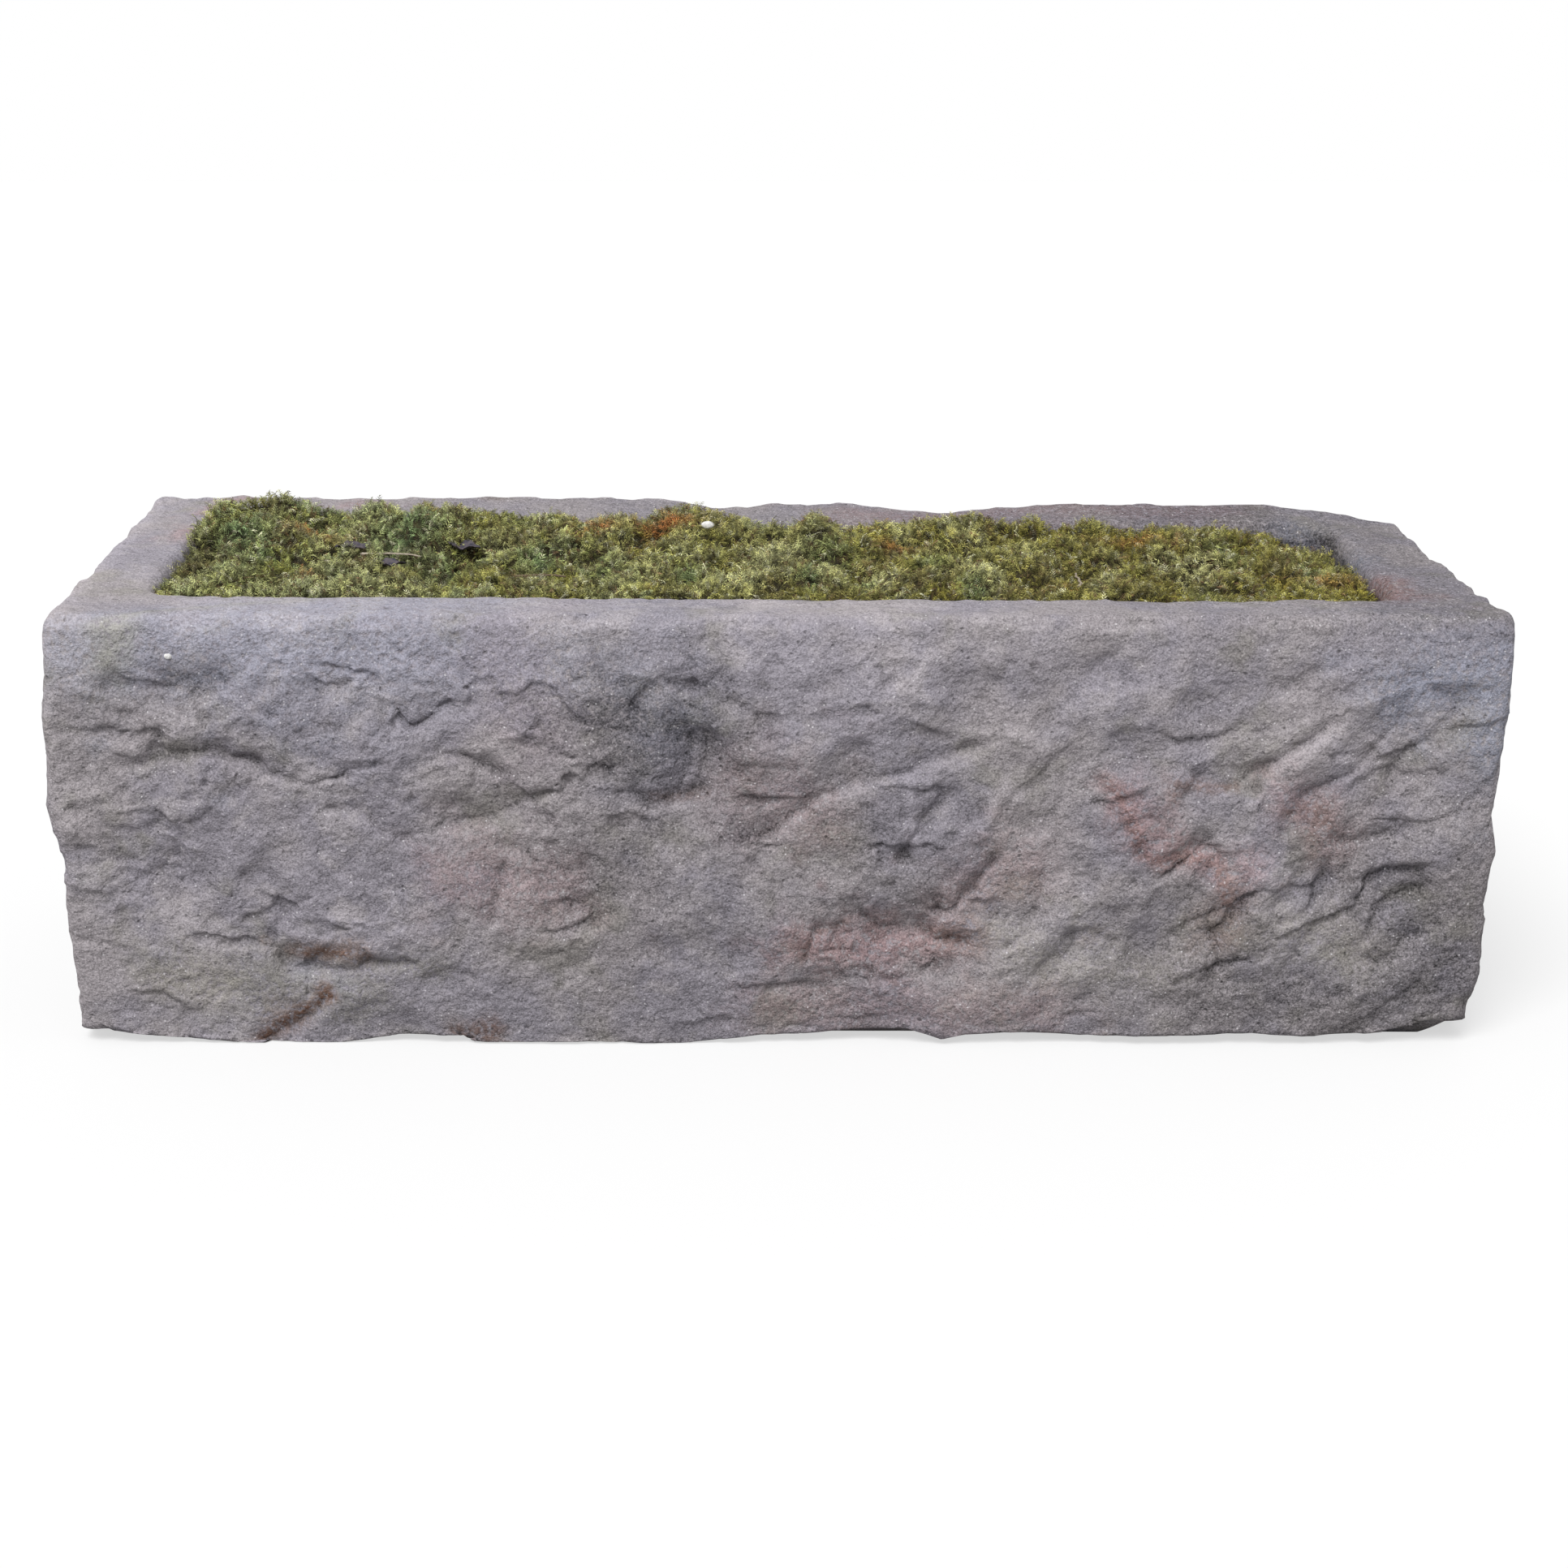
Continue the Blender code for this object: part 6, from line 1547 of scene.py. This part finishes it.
def new_finish(name, roughness):
    """A material with its own shader, and the object's coordinates that its patterns are placed by."""
    material = bpy.data.materials.new(name)
    material.use_nodes = True
    tree = material.node_tree
    shader = tree.nodes["Principled BSDF"]
    shader.inputs["Roughness"].default_value = roughness
    shader.inputs["Specular IOR Level"].default_value = 0.25
    return material, tree, shader, tree.nodes.new("ShaderNodeTexCoord").outputs["Object"]


def patches(tree, where, size, low, high, detail=3.0):
    """The patches group, placed in a material."""
    return add_node(tree, "ShaderNodeGroup", {"node_tree": PATCHES}, Place=where, Size=size, Low=low,
                    High=high, Detail=detail).outputs[0]


def grains(tree, where, size):
    """The grains group, placed in a material."""
    return add_node(tree, "ShaderNodeGroup", {"node_tree": GRAINS}, Place=where, Size=size).outputs


def roughen(tree, shader, height, distance):
    """Raises a shader's surface by a height, 0 to 1, of a distance in metres."""
    bump = add_node(tree, "ShaderNodeBump", Height=height, Distance=distance, Strength=1.0)
    tree.links.new(bump.outputs[0], shader.inputs["Normal"])


def kept(tree, name):
    """The outputs of the node that reads what the mesh keeps for each of its points."""
    settings = {"attribute_name": name, "attribute_type": "GEOMETRY"}
    return add_node(tree, "ShaderNodeAttribute", settings).outputs


def kept_four(tree, name):
    """The four numbers that the mesh keeps under one name."""
    given = kept(tree, name)
    return [*add_node(tree, "ShaderNodeSeparateColor", Color=given["Color"]).outputs, given["Alpha"]]


def sandstone_finish():
    """
    Weathered grey-mauve sandstone: cool and warm mottles, salt-and-pepper grain with glints and pits, the
    pits darkened by painted shade, dirt and painted shade in the hollows, pale ridges that are partly worn
    and partly painted light, and the stains that the mesh keeps.
    """
    material, tree, shader, where = new_finish("weathered_sandstone", 0.9)
    colour = SANDSTONE_COLOUR
    for size, low, high, share, tint in SANDSTONE_MOTTLES:
        colour = blended(tree, product(tree, patches(tree, where, size, low, high), share), colour, tint)
    stains = kept_four(tree, "stains")
    speckled = patches(tree, where, 0.006, 0.30, 0.56, 4.0)
    for kind, share, tint in STAIN_TINTS:
        colour = blended(tree, product(tree, stains[kind], product(tree, speckled, share)), colour, tint)
    mineral = grains(tree, where, 0.0022)
    coarse = grains(tree, where, 0.0075)
    shade = maths(tree, "ADD", spread(tree, mineral["Shade"], 0.25, 0.75, 0.55, 1.47),
                  spread(tree, coarse["Shade"], 0.30, 0.70, -0.11, 0.11))
    # The tone that the mesh keeps, with the painted shade on the hollow's wall
    tone = product(tree, kept(tree, "tone")["Fac"], spread(tree, speckled, 0.0, 1.0, 0.15, 0.42))
    shade = maths(tree, "ADD", shade, tone)
    # Darker in the hollows by dirt and painted shade, and paler on the proud ridges by wear and painted light
    shade = maths(tree, "SUBTRACT", shade, spread(tree, kept(tree, "hollow_dirt_and_shade")["Fac"], -0.10, 0.30, -0.08, 0.22))
    # The pits darkened by painted shade
    shade = maths(tree, "SUBTRACT", shade, product(tree, mineral["Pit"], 0.30))
    colour = shaded(tree, colour, maths(tree, "MAXIMUM", shade, 0.15))
    colour = blended(tree, product(tree, mineral["Glint"], 0.75), colour, (0.72, 0.70, 0.72, 1))
    tree.links.new(colour, shader.inputs["Base Color"])
    tree.links.new(spread(tree, mineral["Shade"], 0.3, 0.7, 0.96, 0.84), shader.inputs["Roughness"])
    height = product(tree, patches(tree, where, 0.012, 0.25, 0.75, 4.0), 2.2)
    for output, share in ((mineral["Height"], 0.8), (coarse["Height"], 1.1)):
        height = maths(tree, "ADD", height, product(tree, output, share))
    roughen(tree, shader, height, 0.0011)
    return material


def moss_finish():
    """
    Feathery moss: each shoot goes from a dark foot to a bright tip, and the green drifts between yellow,
    olive and sage in patches, with brown shoots among them and the tufts and rust that the mesh keeps. The
    tufts' gaps and creases are painted shade and their tops painted highlight, and small patches painted
    darker and paler stand in for shaded and lit clumps.
    olive and sage in patches, with brown shoots among them and the tufts and rust that the mesh keeps.
    """
    material, tree, shader, where = new_finish("feather_moss", 0.75)
    up_shoot, own, other, rusty = kept_four(tree, "shoot")
    tufts = kept_four(tree, "tufts")
    tip = MOSS_COLOUR
    for size, low, high, tint in MOSS_DRIFTS:
        tip = blended(tree, patches(tree, where, size, low, high), tip, tint)
    for kind, share, tint in TUFT_TINTS:
        tip = blended(tree, product(tree, tufts[kind], share), tip, tint)
    for low, high, tint in ODD_SHOOTS:
        tip = blended(tree, spread(tree, other, low, high), tip, tint)
    # Painted shade in the dark gaps and creases between the tufts
    tip = blended(tree, product(tree, tufts[DARK], 0.80), tip, PAINTED_GAP_SHADE)
    rust = product(tree, rusty, spread(tree, own, 0.0, 0.7, 0.7, 1.2))
    tip = blended(tree, rust, tip, RUSTY_SHOOTS)
    colour = blended(tree, spread(tree, up_shoot, 0.05, 0.75), SHOOT_FOOT, tip)
    # Small patches painted darker and paler, standing in for the shade of gaps and the light on the tops of
    # clumps
    clump_light_and_shade = spread(tree, patches(tree, where, 0.010, 0.36, 0.64), 0.0, 1.0, 0.50, 1.48)
    colour = shaded(tree, colour, product(tree, spread(tree, own, 0.0, 1.0, 0.44, 1.60), clump_light_and_shade))
    tree.links.new(colour, shader.inputs["Base Color"])
    roughen(tree, shader, patches(tree, where, 0.0012, 0.3, 0.7), 0.0003)
    return material


def grainy_finish(name, dark, light, size, lump, depth, roughness, glint):
    """Crumbs, clay or pebble stone: patches between two colours, mineral grains over them, and lumps."""
    material, tree, shader, where = new_finish(name, roughness)
    colour = blended(tree, patches(tree, where, lump, 0.35, 0.65), dark, light)
    mineral = grains(tree, where, size)
    colour = shaded(tree, colour, spread(tree, mineral["Shade"], 0.25, 0.75, 0.70, 1.30))
    colour = blended(tree, product(tree, mineral["Glint"], glint), colour, (0.75, 0.73, 0.70, 1))
    tree.links.new(colour, shader.inputs["Base Color"])
    tree.links.new(spread(tree, mineral["Shade"], 0.3, 0.7, roughness + 0.06, roughness - 0.06),
                   shader.inputs["Roughness"])
    height = maths(tree, "ADD", patches(tree, where, lump, 0.3, 0.7), product(tree, mineral["Height"], 0.3))
    roughen(tree, shader, height, depth)
    return material


def leaf_finish():
    """A dead leaf gone purple-black, mottled brown, with veins that run slantwise off the midrib."""
    material, tree, shader, where = new_finish("withered_leaf", 0.7)
    colour = LEAF_COLOUR
    for size, low, high, tint in LEAF_MOTTLES:
        colour = blended(tree, patches(tree, where, size, low, high), colour, tint)
    tree.links.new(colour, shader.inputs["Base Color"])
    veins = add_node(tree, "ShaderNodeTexWave", {"wave_type": "BANDS", "bands_direction": "DIAGONAL"},
                     Vector=where, Scale=90.0, Distortion=2.5, Detail=2.0)
    roughen(tree, shader, veins.outputs["Fac"], 0.0004)
    return material


def stem_finish():
    """Dry stems, from brown to bleached as the mesh says, with fine streaks and dark nicks."""
    material, tree, shader, where = new_finish("bleached_stem", 0.8)
    colour = blended(tree, kept(tree, "bleached")["Fac"], (0.135, 0.085, 0.050, 1), (0.500, 0.440, 0.350, 1))
    streaks = patches(tree, where, 0.0025, 0.35, 0.65, 4.0)
    colour = blended(tree, product(tree, streaks, 0.5), colour, (0.150, 0.110, 0.080, 1))
    tree.links.new(colour, shader.inputs["Base Color"])
    roughen(tree, shader, streaks, 0.0004)
    return material


def seen_directly(tree):
    """1 for what the camera sees itself, in a reflection or through glass, and 0 for light on its way."""
    path = tree.nodes.new("ShaderNodeLightPath").outputs
    either = maths(tree, "MAXIMUM", path["Is Camera Ray"], path["Is Glossy Ray"])
    return maths(tree, "MAXIMUM", either, path["Is Transmission Ray"])


def end_shader(tree, end, lit, seen):
    """Gives a floor or a world one shader for the light on its way, and another for what is seen directly."""
    chosen = add_node(tree, "ShaderNodeMixShader", _0=seen_directly(tree), _1=lit, _2=seen)
    tree.links.new(chosen.outputs[0], tree.nodes.new(end).inputs["Surface"])


def floor_finish():
    """
    The pale floor: the eye sees it almost white with the trough's shadow on it, and it throws a middling
    light back on to the stone.
    """
    material = bpy.data.materials.new("pale_floor")
    material.use_nodes = True
    tree = material.node_tree
    tree.nodes.clear()
    pale = add_node(tree, "ShaderNodeBsdfDiffuse", Color=(0.80, 0.80, 0.80, 1)).outputs[0]
    glow = add_node(tree, "ShaderNodeEmission", Color=(1, 1, 1, 1), Strength=1.0).outputs[0]
    seen = add_node(tree, "ShaderNodeMixShader", _0=0.60, _1=pale, _2=glow).outputs[0]
    lit = add_node(tree, "ShaderNodeBsdfDiffuse", Color=(0.30, 0.30, 0.30, 1)).outputs[0]
    end_shader(tree, "ShaderNodeOutputMaterial", lit, seen)
    return material


def finish_node(node, material):
    """Gives a CAD node that stays in the scene its material."""
    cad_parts[node].material_slots[0].material = material


# The studio

def make_floor():
    """A wide plain floor under the trough."""
    half = FLOOR_HALF_SIZE
    corners = np.array(((-half, -half, 0), (half, -half, 0), (half, half, 0), (-half, half, 0)), float)
    mesh = mesh_from("studio_floor", corners, np.array(((0, 1, 2, 3),)))
    mesh.materials.append(floor_finish())
    floor = bpy.data.objects.new("studio_floor", mesh)
    bpy.context.scene.collection.objects.link(floor)


def light_studio():
    """One wide soft lamp high up in front, a little to the left, and an even pale surround."""
    lamp = bpy.data.lights.new("soft_lamp", "SUN")
    lamp.energy = LAMP_STRENGTH
    lamp.angle = math.radians(LAMP_WIDTH_DEGREES)
    holder = bpy.data.objects.new("soft_lamp", lamp)
    way = Vector(LAMP_FROM)
    holder.location = way * 3
    holder.rotation_euler = way.to_track_quat("Z", "Y").to_euler()
    bpy.context.scene.collection.objects.link(holder)
    world = bpy.data.worlds.new("pale_surround")
    bpy.context.scene.world = world
    world.use_nodes = True
    tree = world.node_tree
    tree.nodes.clear()
    lit, seen = [add_node(tree, "ShaderNodeBackground", Color=(1, 1, 1, 1), Strength=strength).outputs[0]
                 for strength in (SURROUND_STRENGTH, 1.0)]
    end_shader(tree, "ShaderNodeOutputWorld", lit, seen)
    bpy.context.scene.view_settings.view_transform = "Standard"


def place_camera():
    """The camera where the photograph was taken from."""
    camera = bpy.data.cameras.new("front_view")
    camera.lens = CAMERA_LENS
    holder = bpy.data.objects.new("front_view", camera)
    holder.location = CAMERA_PLACE
    holder.rotation_euler = (math.radians(90 - CAMERA_DOWN_DEGREES), 0, math.radians(CAMERA_TURN_DEGREES))
    bpy.context.scene.collection.objects.link(holder)
    bpy.context.scene.camera = holder


quartz = grainy_finish("milky_quartz", (0.62, 0.61, 0.60, 1), (0.76, 0.75, 0.74, 1), 0.0008, 0.004, 0.0002,
                       0.55, 0.3)
make_fleck(quartz, make_trough(sandstone_finish()))
make_moss(moss_finish())
make_pebble(quartz)
make_leaves(leaf_finish())
make_stems(stem_finish())
gravel = grainy_finish("washed_gravel", (0.20, 0.18, 0.16, 1), (0.40, 0.37, 0.33, 1), 0.0020, 0.014, 0.0040,
                       0.85, 0.5)
clay = grainy_finish("old_flowerpot_clay", (0.36, 0.14, 0.075, 1), (0.47, 0.21, 0.12, 1), 0.0010, 0.020,
                     0.0008, 0.85, 0.2)
soil = grainy_finish("leafy_compost", (0.025, 0.016, 0.010, 1), (0.075, 0.048, 0.030, 1), 0.0018, 0.007,
                     0.0030, 0.9, 0.15)
finish_node("drainage_gravel", gravel)
finish_node("compost_bed", soil)
for crock in ("drain_crock_1", "drain_crock_2", "drain_crock_3"):
    finish_node(crock, clay)
make_floor()
light_studio()
place_camera()
